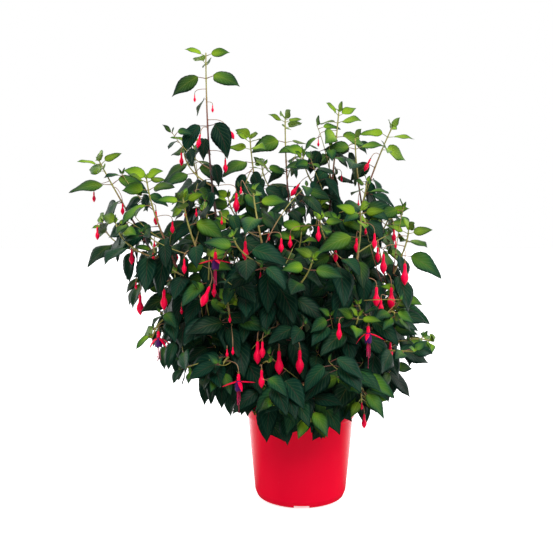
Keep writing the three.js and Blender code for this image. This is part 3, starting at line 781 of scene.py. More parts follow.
def blade_axes(leaf, share):
    """At a share of its length: the way a blade runs, the way across it, and the way its face looks."""
    axis = aim(leaf.level, leaf.rise - leaf.sag * share)
    flat = UP.cross(leaf.level)
    across = flat * math.cos(leaf.bank) + axis.cross(flat) * math.sin(leaf.bank)
    return axis, across, axis.cross(across)


PLAIN_STATIONS = (0.06, 0.25, 0.5, 0.75, 1)
# How thick a plain blade is above and under its middle.
PLAIN_ABOVE = 1.2
PLAIN_UNDER = 1.8


def plain_blade(leaf):
    """A leaf in a few faces, as a test of room. It is a little thick, so that leaves keep apart."""
    corners = []
    centre = leaf.base.copy()
    for before, share in zip((0, *PLAIN_STATIONS), PLAIN_STATIONS):
        axis, across, face = blade_axes(leaf, share)
        centre += axis * leaf.length * (share - before)
        half = leaf.length * float(blade_outline(np.array(share))) if share < 1 else 0.5
        lift = face * half * 0.1
        left, right = centre + across * half + lift, centre - across * half + lift
        corners += [left, centre + face * PLAIN_ABOVE, right, centre - face * PLAIN_UNDER]
    faces = []
    for i in range(4):
        for j in range(4):
            a, b = 4 * i + j, 4 * i + (j + 1) % 4
            faces.append((a, b, b + 4, a + 4))
    return [tuple(c) for c in corners], faces


def plain_bud(bud):
    """A bud as two pyramids base to base, to keep leaves clear of it."""
    x, y, z, reach, half = *bud[:3], bud.size * 0.5, bud.size * 0.22
    corners = [(x, y, z + reach), (x, y, z - reach)]
    corners += [(x + half, y, z), (x, y + half, z), (x - half, y, z), (x, y - half, z)]
    faces = [(top, 2 + i, 2 + (i + 1) % 4) for top in (0, 1) for i in range(4)]
    return corners, faces


def twig_curve(main, stem, index, j):
    """A short leafy side shoot, too thin for the part."""
    key = TWIG_ORDER + j
    distance = main.length * mix(*TWIG_SHARES, (j + chance(index, key, 0)) / TWIGS)
    point, way = main.place(distance)
    root = main.smooth(distance)
    side = (sideways(way, stem.turn + 45 + GOLDEN_ANGLE * j) + outwards(point) * 0.35).normalized()
    length = mix(*TWIG_LENGTHS, chance(index, key, 1))
    start = (way * 0.45 + side * 0.85).normalized()
    lift = UP * length * mix(*TWIG_LIFT, chance(index, key, 2))
    reach = start * length * 0.9
    bend = root + reach * 0.7 + lift * 0.4
    return Curve(Path(SHOOT_STEPS, root, root + reach * 0.35, bend, root + reach + lift), TWIG_RADIUS, key)


def aimed_twig(main, share, end, order):
    """A twig from a place on a stem to a chosen end."""
    root = main.smooth(main.length * share)
    reach = Vector(end) - root
    lift = UP * reach.length
    bends = root + reach * 0.3 + lift * 0.15, root + reach * 0.7 + lift * 0.12
    return Curve(Path(SHOOT_STEPS, root, *bends, root + reach), TWIG_RADIUS, order)


def is_inside(points):
    """Whether all the points are in the part's box and clear of the pot."""
    points = np.array(points)
    low, high = (np.array(corner) / MM for corner in CAD_BOX)
    if (points < low + 1).any() or (points > high - 1).any():
        return False
    radius = np.hypot(points[:, 0], points[:, 1])
    return not ((radius < RIM_RADIUS + 2) & (points[:, 2] < POT_HEIGHT + 2)).any()


def has_room_for_twig(points):
    """Whether a twig starts below the bush's airy top and ends in the part's box and outline."""
    return is_inside(points[:1]) and is_in_outline(points[0]) and airiness(points[-1]) < 1


def airiness(point):
    """From 0 in the dense part of the bush to 1 at its top."""
    across = clamp((point.x - AIRY_LEFT[0]) / (AIRY_RIGHT[0] - AIRY_LEFT[0]))
    return clamp(1 + (point.z - mix(AIRY_LEFT[1], AIRY_RIGHT[1], across)) / AIRY_DEPTH)


def as_seen(points):
    """Where points seem to be, as x and z, on the upright plane through the pot's middle."""
    points = np.array(points, float).reshape(-1, 3)
    scale = EYE[1] / (EYE[1] - points[:, 1])
    return np.stack([mix(EYE[0], points[:, 0], scale), mix(EYE[2], points[:, 2], scale)], axis=1)


def is_in_outline(point):
    """Whether a point is within the outline that the bush shows in front."""
    x, z = as_seen(point)[0]
    inside = False
    for (x1, z1), (x2, z2) in zip(OUTLINE, OUTLINE[1:] + OUTLINE[:1]):
        if (z1 > z) != (z2 > z) and x < mix(x1, x2, (z - z1) / (z2 - z1)):
            inside = not inside
    return inside


@functools.lru_cache
def bloom_targets():
    """Of each bud and flower: where it is seen, half its width and height, and its depth."""
    blooms = BLOOMS + SMALL_BUDS
    seen = as_seen([bloom[:3] for bloom in blooms])
    reach = np.outer([bloom.size / 2 + 3 for bloom in blooms], (0.3, 1))
    return seen, reach, np.array([bloom.y for bloom in blooms])


def hides_bloom(points, margin=1.0):
    """Whether a leaf stands before a bud or flower, or, with a small margin, before its middle."""
    corners = as_seen(points)
    middle = (corners.max(axis=0) + corners.min(axis=0)) / 2
    half = np.ptp(corners, axis=0) / 2
    seen, reach, depth = bloom_targets()
    is_close = (np.abs(seen - middle) < half * mix(0.6, 1, margin) + reach * margin).all(axis=1)
    is_behind = (depth > min(point[1] for point in points)) & (depth < 40)
    return bool((is_close & is_behind).any())


def faces_front(leaf):
    """Whether a leaf shows its upper face, not its edge, in front."""
    return blade_axes(leaf, 0.5)[2].dot(FRONT) > LEAST_FACING


def pair_places(curve):
    """The places for the pairs of leaves on a twig."""
    pairs = enumerate(nodes_of(curve.path))
    return [(curve, distance, k, side, 0) for k, distance in pairs for side in (0, 1)]


def leaf_places(plant):
    """The places for leaves that the part leaves empty, on stems, shoots and twigs."""
    places = list(plant.free_places)
    for curve in plant.twigs:
        places += pair_places(curve)
    for curve in plant.curves:
        gaps = [distance + LEAF_SPACING / 2 for distance in nodes_of(curve.path)[EXTRA_FROM_PAIR:]]
        gaps = [distance for distance in gaps if distance < curve.path.length - BARE_FOOT]
        places += [(curve, d, k + EXTRA_LEAF_KEY, side, 1) for k, d in enumerate(gaps) for side in (0, 1)]
    return [place for place in places if is_wanted(plant, *place[:4])]


def is_wanted(plant, curve, distance, k, side):
    """Whether a place takes a leaf: most in the dense part of the bush, fewer in the airy part."""
    share = mix(DENSE_SHARE, AIRY_SHARE, airiness(curve.path.place(distance)[0]))
    return chance(plant.index, curve.order, k, side + 20) < share


def growth_turn(plant, place):
    """When a leaf takes its room: those on stems first, then on shoots, then on twigs."""
    curve, _, k, side, _ = place
    wait = SHOOT_WAIT if curve.order else 0
    if curve.order >= TWIG_ORDER:
        wait = TWIG_WAIT
    return wait + chance(plant.index, curve.order, k, side)


def add_if_free(room, plant, leaf):
    """Gives a plant a leaf where there is room for it, and tells whether there is."""
    blade = plain_blade(leaf)
    is_free = is_inside(blade[0]) and not hides_bloom(blade[0]) and room.takes(*blade)
    if is_free:
        room.add(*blade)
        plant.leaves.append(leaf)
    return is_free


def grow_tip(room, plant, curve):
    """Puts the small leaves round a curve's tip."""
    for leaf in rosette(curve, plant.stem, plant.index):
        add_if_free(room, plant, leaf)


def grow_leaf(room, plant, place, is_aimed=False):
    """Puts a leaf in a place, turned as it needs to be to have room, if it can."""
    curve, distance, k, side, kind = place
    shrink = mix(1, TOP_SHRINK, airiness(curve.path.place(distance)[0]))
    if curve.order >= TWIG_ORDER and not is_aimed:
        shrink *= TWIG_SHRINK
    for attempt in range(len(LEAF_TRIES) * 2):
        turned_k = k + kind * attempt // len(LEAF_TRIES)
        leaf = leaf_at(curve, distance, plant.stem, plant.index, turned_k, side, attempt, shrink)
        if leaf.length < SMALLEST_LEAF * LEAST_SHRINK:
            return
        if not is_in_outline(leaf.tip) or not is_in_outline(leaf.base.lerp(leaf.tip, 0.5)):
            continue
        if is_aimed and not faces_front(leaf):
            continue
        if add_if_free(room, plant, leaf):
            return


def filled_room(plants):
    """The room that the part's leaves, the blooms and the small buds leave."""
    room = Room()
    for plant in plants:
        for leaf in plant.leaves:
            room.add(*plain_blade(leaf))
    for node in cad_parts.values():
        if node.name.startswith("bloom"):
            corners = [tuple(v.co / MM) for v in node.data.vertices]
            room.add(corners, [tuple(p.vertices) for p in node.data.polygons])
    for bud in SMALL_BUDS:
        room.add(*plain_bud(bud))
    return room


def grow_aimed_twig(room, plant, share, end, order):
    """A twig from a share of a stem to a chosen end, with its leaves."""
    twig = aimed_twig(plant.curves[0].path, share, end, order)
    plant.twigs.append(twig)
    grow_tip(room, plant, twig)
    for place in pair_places(twig):
        if is_wanted(plant, *place[:4]):
            grow_leaf(room, plant, place, True)


@functools.lru_cache
def grown_plants():
    """All leafy stems, with the leaves that the part has and more where there is room."""
    plants = [Plant(stem, index) for index, stem in enumerate(STEMS)]
    for plant in plants:
        plant.find_shoots()
        plant.find_leaves()
        plant.find_twigs()
    room = filled_room(plants)
    places = [(growth_turn(plant, place), plant, place) for plant in plants for place in leaf_places(plant)]
    for plant in plants:
        for curve in [*plant.curves, *plant.twigs]:
            grow_tip(room, plant, curve)
    for _, plant, place in sorted(places, key=lambda entry: entry[0]):
        grow_leaf(room, plant, place)
    for i, (name, share, end) in enumerate(AIMED_TWIGS):
        plant = next(plant for plant in plants if plant.stem.name == name)
        grow_aimed_twig(room, plant, share, end, AIMED_ORDER + i)
    return plants


# How far a bloom hangs from its stem, what is added to that as a share of its size, and what a stem
# costs in the choice that stands too low or runs lengthwise to the stalk.
HANG_LENGTH = 8
HANG_SHARE = 0.8
LOW_COST = 0.5
LENGTHWISE_COST = 20
HANG_STEP = 4


@functools.lru_cache
def hanging_samples():
    """Every few millimetres on each stem and shoot of the part: the point, its way and its radius."""
    points, ways, radii = [], [], []
    for plant in grown_plants():
        for curve in plant.curves:
            path = curve.path
            for distance in np.arange(HANG_STEP, path.length, HANG_STEP):
                point, way = path.place(distance)
                points.append(tuple(point))
                ways.append(tuple(way))
                radii.append(mix(*curve.radius, distance / path.length))
    return np.array(points), np.array(ways), np.array(radii)


def hanging_place(top, size):
    """Where a bloom's stalk leaves its stem, by the same rule as the part."""
    points, ways, radii = hanging_samples()
    aims = array_of(top) - points
    apart = np.linalg.norm(aims, axis=1)
    lengthwise = np.abs((aims * ways).sum(axis=1)) / apart
    low = np.maximum(0, top.z + 10 - points[:, 2])
    off = np.abs(apart - HANG_LENGTH - HANG_SHARE * size)
    best = int(np.argmin(off + LOW_COST * low + LENGTHWISE_COST * lengthwise**3))
    return Vector(points[best]), Vector(ways[best]), radii[best]


PEDICEL, OVARY, SEPAL, COROLLA, STAMEN, ANTHER = range(6)
# The profiles of a bloom of length 1, each row a distance from its top and a radius.
OVARY_PROFILE = [(0.0, 0.022), (0.02, 0.038), (0.05, 0.046), (0.08, 0.043), (0.1, 0.036)]
BUD_PROFILE = OVARY_PROFILE + [
    (0.14, 0.056), (0.2, 0.066), (0.3, 0.067), (0.4, 0.069), (0.46, 0.082), (0.53, 0.115),
    (0.6, 0.143), (0.68, 0.155), (0.76, 0.145), (0.84, 0.113), (0.91, 0.07), (0.96, 0.034),
    (0.985, 0.016),
]
TUBE_PROFILE = OVARY_PROFILE + [(0.14, 0.058), (0.22, 0.07), (0.32, 0.074), (0.4, 0.08)]
COROLLA_PROFILE = [
    (0.34, 0.05), (0.4, 0.09), (0.48, 0.13), (0.57, 0.15), (0.66, 0.152), (0.73, 0.145), (0.77, 0.135),
    (0.765, 0.12), (0.7, 0.115), (0.6, 0.08),
]
# The middle of each petal's end hangs lower than its sides, from a share of the length on.
PETAL_DROP = 0.05
PETAL_DROP_FROM = 0.6
COROLLA_TOP = 0.33
COROLLA_FLOOR = 0.5
RIBS_FROM = 0.3
# The sizes of sepals, stamens and style, as shares of the bloom's length, and the sepals' droop.
SEPAL_LENGTH = 0.62
SEPAL_HALF_WIDTH = 0.085
SEPAL_DROOP = (0.1, 1.15)
# Across a sepal: the place of each column, how far it bulges down with the width, and in millimetres.
SEPAL_COLUMNS = np.array([1, 0.5, 0, -0.5, -1, -0.5, 0, 0.5])
SEPAL_SHAPE = np.array([0, -0.05, -0.02, -0.05, 0, 0.25, 0.4, 0.25])
SEPAL_THICKNESS = np.array([0, 0, 0, 0, 0, 0.4, 0.5, 0.4])
STAMENS = 7
STAMEN_LENGTHS = (0.72, 1.0)
STAMEN_SPREADS = (0.04, 0.15)
STYLE_LENGTH = 1.4
STYLE_SPREAD = 0.02
# Thin parts, in millimetres.
FILAMENT_RADIUS = 0.24
ANTHER_REACH = 1.1
ANTHER_RADIUS = 0.75
PEDICEL_RADIUS = 0.62


def lobed_ring(centre, down, across, radius, sides, depth, twist=0):
    """A ring round a bloom's axis with four lobes."""
    angles = np.arange(sides) * 2 * math.pi / sides
    second = np.cross(down, across)
    radii = radius * (1 + depth * np.cos(4 * angles + twist))
    return centre + (np.cos(angles) * radii)[:, None] * across + (np.sin(angles) * radii)[:, None] * second


class BloomShape:
    """Where one bloom hangs: the top of its tube, its own axis, and its stalk."""

    def __init__(self, bloom):
        self.size = bloom.size
        self.is_open = bloom.is_open
        self.down = Vector((bloom.lean, 0, -1)).normalized()
        self.top = Vector(bloom[:3]) - self.down * bloom.size / 2
        self.key = bloom.x + 7 * bloom.y
        point, way, radius = hanging_place(self.top, bloom.size)
        aimed = self.top - point
        side = (aimed - way * aimed.dot(way)).normalized()
        start = point + side * radius * 0.5
        reach = (start - self.top).length
        self.controls = (start, start + side * reach * 0.4, self.top - self.down * reach * 0.4, self.top)
        self.across = side.cross(self.down).normalized()

    def add_to(self, surface):
        self.add_stalk(surface)
        if self.is_open:
            self.add_flower(surface)
        else:
            self.add_bud(surface)

    def at(self, share):
        """The point on the bloom's axis at a share of its length."""
        return array_of(self.top + self.down * self.size * share)

    def add_stalk(self, surface):
        points = [bezier(self.controls, t) for t in np.linspace(0, 1, 12)]
        radii = np.full(12, PEDICEL_RADIUS) * mix(0.7, 1, clamp(self.size / 36))
        radii[0] *= 1.6
        surface.tube(points, radii, 6, PEDICEL, list(np.linspace(1, 0, 12)))

    def profile(self, profile, sides, depth, twist=0):
        """The rings of a profile, with lobes below the ovary."""
        down, across = array_of(self.down), array_of(self.across)
        rings = []
        for share, radius in profile:
            lobes = depth * (share > RIBS_FROM)
            rings.append(lobed_ring(self.at(share), down, across, radius * self.size, sides, lobes, twist))
        return rings

    def add_ovary(self, surface, rings, tone):
        surface.loft(rings, [OVARY] * 16, [0.2] * len(rings), tone, OVARY)

    def add_bud(self, surface):
        rings = self.profile(BUD_PROFILE, 16, 0.045)
        self.add_ovary(surface, rings[: len(OVARY_PROFILE)], chance(self.key))
        rings = [*rings[len(OVARY_PROFILE) - 1 :], [self.at(1.0)]]
        ages = list(np.linspace(0, 1, len(rings)))
        surface.loft(rings, [SEPAL] * 16, ages, chance(self.key), SEPAL)

    def add_flower(self, surface):
        rings = self.profile(TUBE_PROFILE, 16, 0.03)
        self.add_ovary(surface, rings[: len(OVARY_PROFILE)], 0.5)
        tube = rings[len(OVARY_PROFILE) - 1 :]
        surface.loft(tube, [SEPAL] * 16, list(np.linspace(0, 0.5, len(tube))), 0.5, SEPAL)
        for i in range(4):
            self.add_sepal(surface, i)
        self.add_corolla(surface)
        for i in range(STAMENS + 1):
            self.add_stamen(surface, i)

    def add_corolla(self, surface):
        """The bell of four overlapping petals, closed at its mouth a little way inside."""
        rings = self.profile(COROLLA_PROFILE, 24, 0.1, 0.8)
        petal_ends = np.abs(np.cos(2 * np.arange(24) * 2 * math.pi / 24))[:, None] * array_of(self.down)
        for i, (share, _) in enumerate(COROLLA_PROFILE):
            drop = max(0, share - PETAL_DROP_FROM) / 0.17
            rings[i] = rings[i] + petal_ends * self.size * PETAL_DROP * drop
        rings = [[self.at(COROLLA_TOP)], *rings, [self.at(COROLLA_FLOOR)]]
        surface.loft(rings, [COROLLA] * 24, list(np.linspace(0, 1, len(rings))), 0.5, COROLLA)

    def add_sepal(self, surface, i):
        """A narrow pointed sepal that springs from the tube's mouth and spreads, more or less drooping."""
        out = self.turned((i + 0.4) / 4)
        edge = self.down.cross(out)
        t = np.linspace(0, 1, 9)
        reach = self.size * SEPAL_LENGTH
        droop = mix(*SEPAL_DROOP, chance(self.key, i, 5)) * np.sqrt(t)
        steps = np.outer(np.cos(droop), array_of(out)) + np.outer(np.sin(droop), array_of(self.down))
        steps[0] = 0
        centre = self.at(0.41) + array_of(out) * self.size * 0.06 + np.cumsum(steps, axis=0) * reach / 8
        outline = np.sin(math.pi * np.clip(t * 0.8 + 0.2, 0, 1)) ** 0.8
        half = self.size * SEPAL_HALF_WIDTH * np.maximum(outline, 0.08)
        thick = SEPAL_SHAPE * half[:, None] + SEPAL_THICKNESS
        rings = (
            centre[:, None]
            + array_of(edge) * (SEPAL_COLUMNS * half[:, None])[:, :, None]
            + array_of(self.down) * thick[:, :, None]
        )
        rings = [ring[::-1] for ring in rings]
        rings.append(centre[-1:] + array_of(out) * self.size * 0.03)
        surface.loft(rings, [SEPAL] * 8, list(np.linspace(0.4, 1, 10)), 0.5, SEPAL)

    def turned(self, share):
        """A direction square to the bloom's axis, at a share of a full turn."""
        second = self.down.cross(self.across)
        angle = share * 2 * math.pi
        return self.across * math.cos(angle) + second * math.sin(angle)

    def add_stamen(self, surface, i):
        """A stamen with its anther or, as the last, the longer style in their middle."""
        out = self.turned(i / STAMENS + 0.05)
        is_style = i == STAMENS
        length = STYLE_LENGTH if is_style else mix(*STAMEN_LENGTHS, chance(self.key, i))
        width = STYLE_SPREAD if is_style else mix(*STAMEN_SPREADS, chance(self.key, i, 1))
        t = np.linspace(0, 1, 7)
        points = []
        for share in t:
            fall = self.down * self.size * (0.42 + length * share)
            points.append(self.top + fall + out * self.size * width * share * (1.6 - share))
        surface.tube(points, np.full(7, FILAMENT_RADIUS), 5, STAMEN, list(t))
        along = np.linspace(-1, 1, 6)
        centres = [points[-1] + self.down * share * ANTHER_REACH for share in along]
        bulge = ANTHER_RADIUS * np.sqrt(np.maximum(1 - along**2, 0.04))
        surface.tube(centres, bulge, 6, ANTHER, [0.5] * 6)


# Node groups and materials
def feed(tree, socket, value):
    """Links another node's output to a socket, or sets the socket to a value."""
    if isinstance(value, bpy.types.NodeSocket):
        tree.links.new(value, socket)
    else:
        socket.default_value = value


def node(tree, kind, inputs=(), **settings):
    """A shader node with its settings, and its inputs as values or as links from other nodes."""
    made = tree.nodes.new("ShaderNode" + kind)
    for key, value in settings.items():
        setattr(made, key, value)
    for key, value in dict(inputs).items():
        feed(tree, made.inputs[key], value)
    return made


def maths(tree, operation, *values):
    return node(tree, "Math", enumerate(values), operation=operation).outputs[0]


def times(tree, first, second):
    return maths(tree, "MULTIPLY", first, second)


def plus(tree, first, second):
    return maths(tree, "ADD", first, second)


def less(tree, first, second):
    return maths(tree, "SUBTRACT", first, second)


def grey(value):
    return (value, value, value)


def ramp(tree, factor, *stops):
    """A colour from a factor, through stops of a position and a colour, from left to right."""
    made = node(tree, "ValToRGB", {"Fac": factor})
    elements = made.color_ramp.elements
    for place, _ in stops[1:-1]:
        elements.new(place)
    for element, (place, color) in zip(elements, stops):
        element.position = place
        element.color = (*color, 1)
    return made.outputs["Color"]


def blend(tree, factor, first, second, mode="MIX"):
    """A mix of two colours."""
    made = node(tree, "Mix", data_type="RGBA", blend_type=mode)
    sockets = [s for s in made.inputs if s.enabled]
    for socket, value in zip(sockets, (factor, first, second)):
        feed(tree, socket, value)
    return next(s for s in made.outputs if s.enabled)


def attribute(tree, name):
    return node(tree, "Attribute", attribute_name=name).outputs["Fac"]


def position(tree):
    return node(tree, "TexCoord").outputs["Object"]


def blade_map(tree):
    """The place across and along one's own blade or tube."""
    return node(tree, "SeparateXYZ", {0: node(tree, "UVMap", uv_map="blade").outputs[0]}).outputs


def new_group(name, inputs, outputs):
    """An empty node group with its sockets, as group, input node and output node."""
    group = bpy.data.node_groups.new(name, "ShaderNodeTree")
    for label, kind, default in inputs:
        socket = group.interface.new_socket(name=label, in_out="INPUT", socket_type="NodeSocket" + kind)
        if default is not None:
            socket.default_value = default
    for label, kind in outputs:
        group.interface.new_socket(name=label, in_out="OUTPUT", socket_type="NodeSocket" + kind)
    return group, group.nodes.new("NodeGroupInput"), group.nodes.new("NodeGroupOutput")


def use_group(tree, group, inputs=()):
    return node(tree, "Group", inputs, node_tree=group).outputs


@functools.lru_cache
def mottle_group():
    """Soft blotches and fine grain, from a position."""
    group, given, result = new_group(
        "Mottle",
        [("Position", "Vector", None), ("Blotch scale", "Float", 40.0), ("Grain scale", "Float", 900.0)],
        [("Blotch", "Float"), ("Grain", "Float")],
    )
    for kind, detail in (("Blotch", 4.0), ("Grain", 2.0)):
        inputs = {"Vector": given.outputs["Position"], "Scale": given.outputs[kind + " scale"]}
        noise = node(group, "TexNoise", {**inputs, "Detail": detail})
        group.links.new(noise.outputs["Fac"], result.inputs[kind])
    return group


def mottle(tree, blotch_scale, grain_scale=900.0):
    """Blotches and grain in a piece's own space."""
    scales = {"Blotch scale": blotch_scale, "Grain scale": grain_scale}
    return use_group(tree, mottle_group(), {"Position": position(tree), **scales})


@functools.lru_cache
def veins_group():
    """The midrib and the side veins of a blade, from its own map, with the swell between them."""
    group, given, result = new_group(
        "Veins",
        [("Pairs", "Float", 7.0), ("Rise", "Float", 0.42)],
        [("Midrib", "Float"), ("Side veins", "Float"), ("Swell", "Float"), ("Edge", "Float")],
    )
    place = blade_map(group)
    turned = maths(group, "FRACT", times(group, place["X"], 2.0))
    across = times(group, maths(group, "ABSOLUTE", less(group, turned, 0.5)), 2.0)
    midrib = less(group, 1.0, times(group, across, 14.0))
    lag = times(group, maths(group, "POWER", across, 0.8), given.outputs["Rise"])
    along = times(group, less(group, place["Y"], lag), given.outputs["Pairs"])
    wave = maths(group, "COSINE", times(group, along, 2 * math.pi))
    swell = times(group, less(group, 1.0, wave), 0.5)
    line = less(group, 1.0, times(group, swell, 9.0))
    fade = less(group, 1.0, maths(group, "POWER", across, 4.0))
    shown = {
        "Midrib": node(group, "Clamp", {0: midrib}).outputs[0],
        "Side veins": node(group, "Clamp", {0: times(group, line, fade)}).outputs[0],
        "Swell": times(group, maths(group, "SQRT", swell), fade),
        "Edge": maths(group, "POWER", across, 2.0),
    }
    for label, value in shown.items():
        group.links.new(value, result.inputs[label])
    return group


def new_material(name, **constants):
    """A material with a Principled shader, its constants set on the shader's own sockets."""
    material = bpy.data.materials.new(name)
    material.use_nodes = True
    shader = material.node_tree.nodes["Principled BSDF"]
    for label, value in constants.items():
        shader.inputs[label.replace("_", " ")].default_value = value
    return material, material.node_tree, shader


def finish_shader(tree, shader, color, roughness=None, height=None, strength=0.2, distance=0.0005):
    """Links the colour and, where given, the roughness and a relief in metres to the shader."""
    tree.links.new(color, shader.inputs["Base Color"])
    if roughness is not None:
        tree.links.new(roughness, shader.inputs["Roughness"])
    if height is not None:
        bump = node(tree, "Bump", {"Height": height, "Strength": strength, "Distance": distance})
        tree.links.new(bump.outputs[0], shader.inputs["Normal"])


# Colours beside those in the settings.
PALE_VEIN = (0.3, 0.45, 0.2, 1)
UNDERSIDE = (0.2, 0.28, 0.14, 1)
TIP_RIB = (0.25, 0.38, 0.05)
BARK_TURNING = (0.22, 0.075, 0.04)
BARK_RED = (0.085, 0.01, 0.016)
STALK_YOUNG = (0.22, 0.26, 0.04)
STALK_TURNING = (0.2, 0.045, 0.03)
STALK_OLD = (0.09, 0.01, 0.016)
STALK_BLOTCH = (0.1, 0.12, 0.02, 1)
WET_SOIL = (0.012, 0.008, 0.005, 1)
PETAL_VEINS = 14.0


def scaled(tree, value, low, high):
    """A value from 0 to 1, moved to the range from low to high."""
    return node(tree, "MapRange", {0: value, 3: low, 4: high}).outputs[0]


def leaf_color(tree, look, veins, blotch):
    """Green by the leaf's age, darker low in the bush as painted shade, riper at its edge, blotchy, and
    paler on its veins.
    """
    age = attribute(tree, "age")
    ripe = plus(tree, age, scaled(tree, veins["Edge"], -0.06, 0.2))
    young, fresh, grown, old = (tuple(c) for c in (look.young, look.fresh, look.grown, look.old))
    green = ramp(tree, ripe, (0.0, young), (0.3, fresh), (0.62, grown), (1.0, old))
    tone = plus(tree, times(tree, blotch, 0.6), attribute(tree, "tone"))
    shade = ramp(tree, tone, (0.2, grey(0.5)), (1.0, grey(1.4)))
    green = blend(tree, 1.0, green, shade, "MULTIPLY")
    side_share = times(tree, veins["Side veins"], scaled(tree, age, 0.32, 0.17))
    green = blend(tree, side_share, green, blend(tree, 0.4, green, PALE_VEIN))
    rib = ramp(tree, age, (0.0, TIP_RIB), (0.4, tuple(look.young_rib)), (1.0, tuple(look.old_rib)))
    return blend(tree, times(tree, veins["Midrib"], 0.5), green, rib)


def leaf_material(name, look, is_under):
    """One face of the leaves. The midrib is sunk in the upper face and raised on the underside."""
    material, tree, shader = new_material(name, Specular_IOR_Level=0.06)
    veins = use_group(tree, veins_group())
    spots = mottle(tree, blotch_scale=60.0, grain_scale=1100.0)
    green = leaf_color(tree, look, veins, spots["Blotch"])
    if is_under:
        green = blend(tree, 0.25, green, UNDERSIDE)
    rough = scaled(tree, spots["Blotch"], *((0.5, 0.62) if is_under else (0.34, 0.5)))
    rib_height = times(tree, veins["Midrib"], 0.6 if is_under else -0.6)
    height = plus(tree, plus(tree, veins["Swell"], times(tree, spots["Grain"], 0.25)), rib_height)
    strength = scaled(tree, attribute(tree, "age"), 0.12, 0.35)
    finish_shader(tree, shader, green, rough, height, strength, distance=0.0004)
    return material


def bark_material(look):
    """A stem's skin from its green tip over red to its brown foot."""
    material, tree, shader = new_material("stem_bark")
    spots = mottle(tree, blotch_scale=90.0, grain_scale=700.0)
    age = plus(tree, attribute(tree, "age"), times(tree, spots["Blotch"], 0.2))
    tip, foot = tuple(look.stem_tip), tuple(look.stem_foot)
    color = ramp(tree, age, (0.28, tip), (0.48, BARK_TURNING), (0.68, BARK_RED), (1.0, foot))
    rough = scaled(tree, spots["Grain"], 0.4, 0.7)
    finish_shader(tree, shader, color, rough, spots["Grain"], strength=0.4)
    return material


def stalk_material():
    """A leaf's stalk: green on young leaves, red on old ones."""
    material, tree, shader = new_material("leaf_stalk")
    spots = mottle(tree, blotch_scale=120.0)
    color = ramp(tree, attribute(tree, "age"), (0.0, STALK_YOUNG), (0.4, STALK_TURNING), (1.0, STALK_OLD))
    color = blend(tree, scaled(tree, spots["Blotch"], 0.0, 0.3), color, STALK_BLOTCH)
    rough = scaled(tree, spots["Grain"], 0.4, 0.6)
    finish_shader(tree, shader, color, rough, spots["Grain"], strength=0.25)
    return material


def petal_material(name, base, tip, roughness):
    """A petal's colour from its base to its tip, with faint lengthwise veins."""
    material, tree, shader = new_material(name, Specular_IOR_Level=0.12)
    spots = mottle(tree, blotch_scale=110.0, grain_scale=1800.0)
    color = ramp(tree, attribute(tree, "age"), (0.0, base), (1.0, tip))
    dark = (*(c * 0.7 for c in base), 1)
    color = blend(tree, scaled(tree, spots["Blotch"], 0.0, 0.35), color, dark)
    wave = maths(tree, "COSINE", times(tree, blade_map(tree)["X"], PETAL_VEINS * 2 * math.pi))
    height = plus(tree, times(tree, wave, 0.3), spots["Grain"])
    rough = scaled(tree, spots["Blotch"], *roughness)
    finish_shader(tree, shader, color, rough, height, strength=0.25, distance=0.0003)
    return material


def pot_material(look):
    """Glossy plastic with faint scuffs."""
    material, tree, shader = new_material("pot_plastic", IOR=1.45, Specular_IOR_Level=0.15)
    spots = mottle(tree, blotch_scale=14.0, grain_scale=1100.0)
    deep = tuple(c * 0.86 for c in look.color)
    color = blend(tree, scaled(tree, spots["Blotch"], 0.0, 1.0), (*deep, 1), (*look.color, 1))
    fine = {"Scale": 260.0, "Detail": 6.0, "Distortion": 2.0}
    scuffs = node(tree, "TexNoise", {"Vector": position(tree), **fine}).outputs["Fac"]
    scratch = ramp(tree, scuffs, (0.6, grey(0)), (0.78, grey(1)))
    rough = scaled(tree, spots["Blotch"], look.gloss, look.gloss + 0.1)
    rough = plus(tree, rough, times(tree, scratch, 0.12))
    finish_shader(tree, shader, color, rough, spots["Grain"], strength=0.06, distance=0.0003)
    return material


def soil_material(look):
    """Dark crumbly peat, with painted shade in the sunken crevices between its crumbs."""
    material, tree, shader = new_material("potting_soil", Specular_IOR_Level=0.2)
    spots = mottle(tree, blotch_scale=70.0, grain_scale=600.0)
    crumbs = node(tree, "TexVoronoi", {"Vector": position(tree), "Scale": 180.0}).outputs["Distance"]
    # Painted shade: the colour darkens towards the sunken crevices between the crumbs.
    dark = tuple(c * 0.35 for c in look.color)
    color = ramp(tree, crumbs, (0.0, tuple(look.color)), (0.75, dark))
    color = blend(tree, scaled(tree, spots["Blotch"], 0.0, 0.6), color, WET_SOIL)
    height = plus(tree, spots["Grain"], times(tree, crumbs, -1.5))
    rough = scaled(tree, spots["Grain"], 0.75, 1.0)
    finish_shader(tree, shader, color, rough, height, strength=0.9, distance=0.002)
    return material


def floor_material():
    """A white floor that stays white to the camera and shows a soft white wall in the pot's gloss."""
    matt = {"Specular_IOR_Level": 0.0, "Roughness": 0.7}
    material, tree, shader = new_material("floor", Emission_Color=(1, 1, 1, 1), **matt)
    noise = node(tree, "TexNoise", {"Vector": position(tree), "Scale": 3.0})
    color = ramp(tree, noise.outputs["Fac"], (0.3, grey(0.93)), (0.7, grey(0.95)))
    light = node(tree, "LightPath").outputs
    unseen = scaled(tree, light["Is Diffuse Ray"], 0.08, 0.38)
    finish_shader(tree, shader, blend(tree, light["Is Camera Ray"], unseen, color))
    way_back = node(tree, "SeparateXYZ", {0: position(tree)}).outputs["Y"]
    behind = node(tree, "MapRange", {0: way_back, 1: 0.0, 2: 0.4}).outputs[0]
    mirrored = times(tree, times(tree, light["Is Glossy Ray"], behind), 3.2)
    glow = maths(tree, "MULTIPLY_ADD", light["Is Diffuse Ray"], 0.35, mirrored)
    glow = maths(tree, "MULTIPLY_ADD", light["Is Camera Ray"], 0.6, glow)
    tree.links.new(glow, shader.inputs["Emission Strength"])
    return material


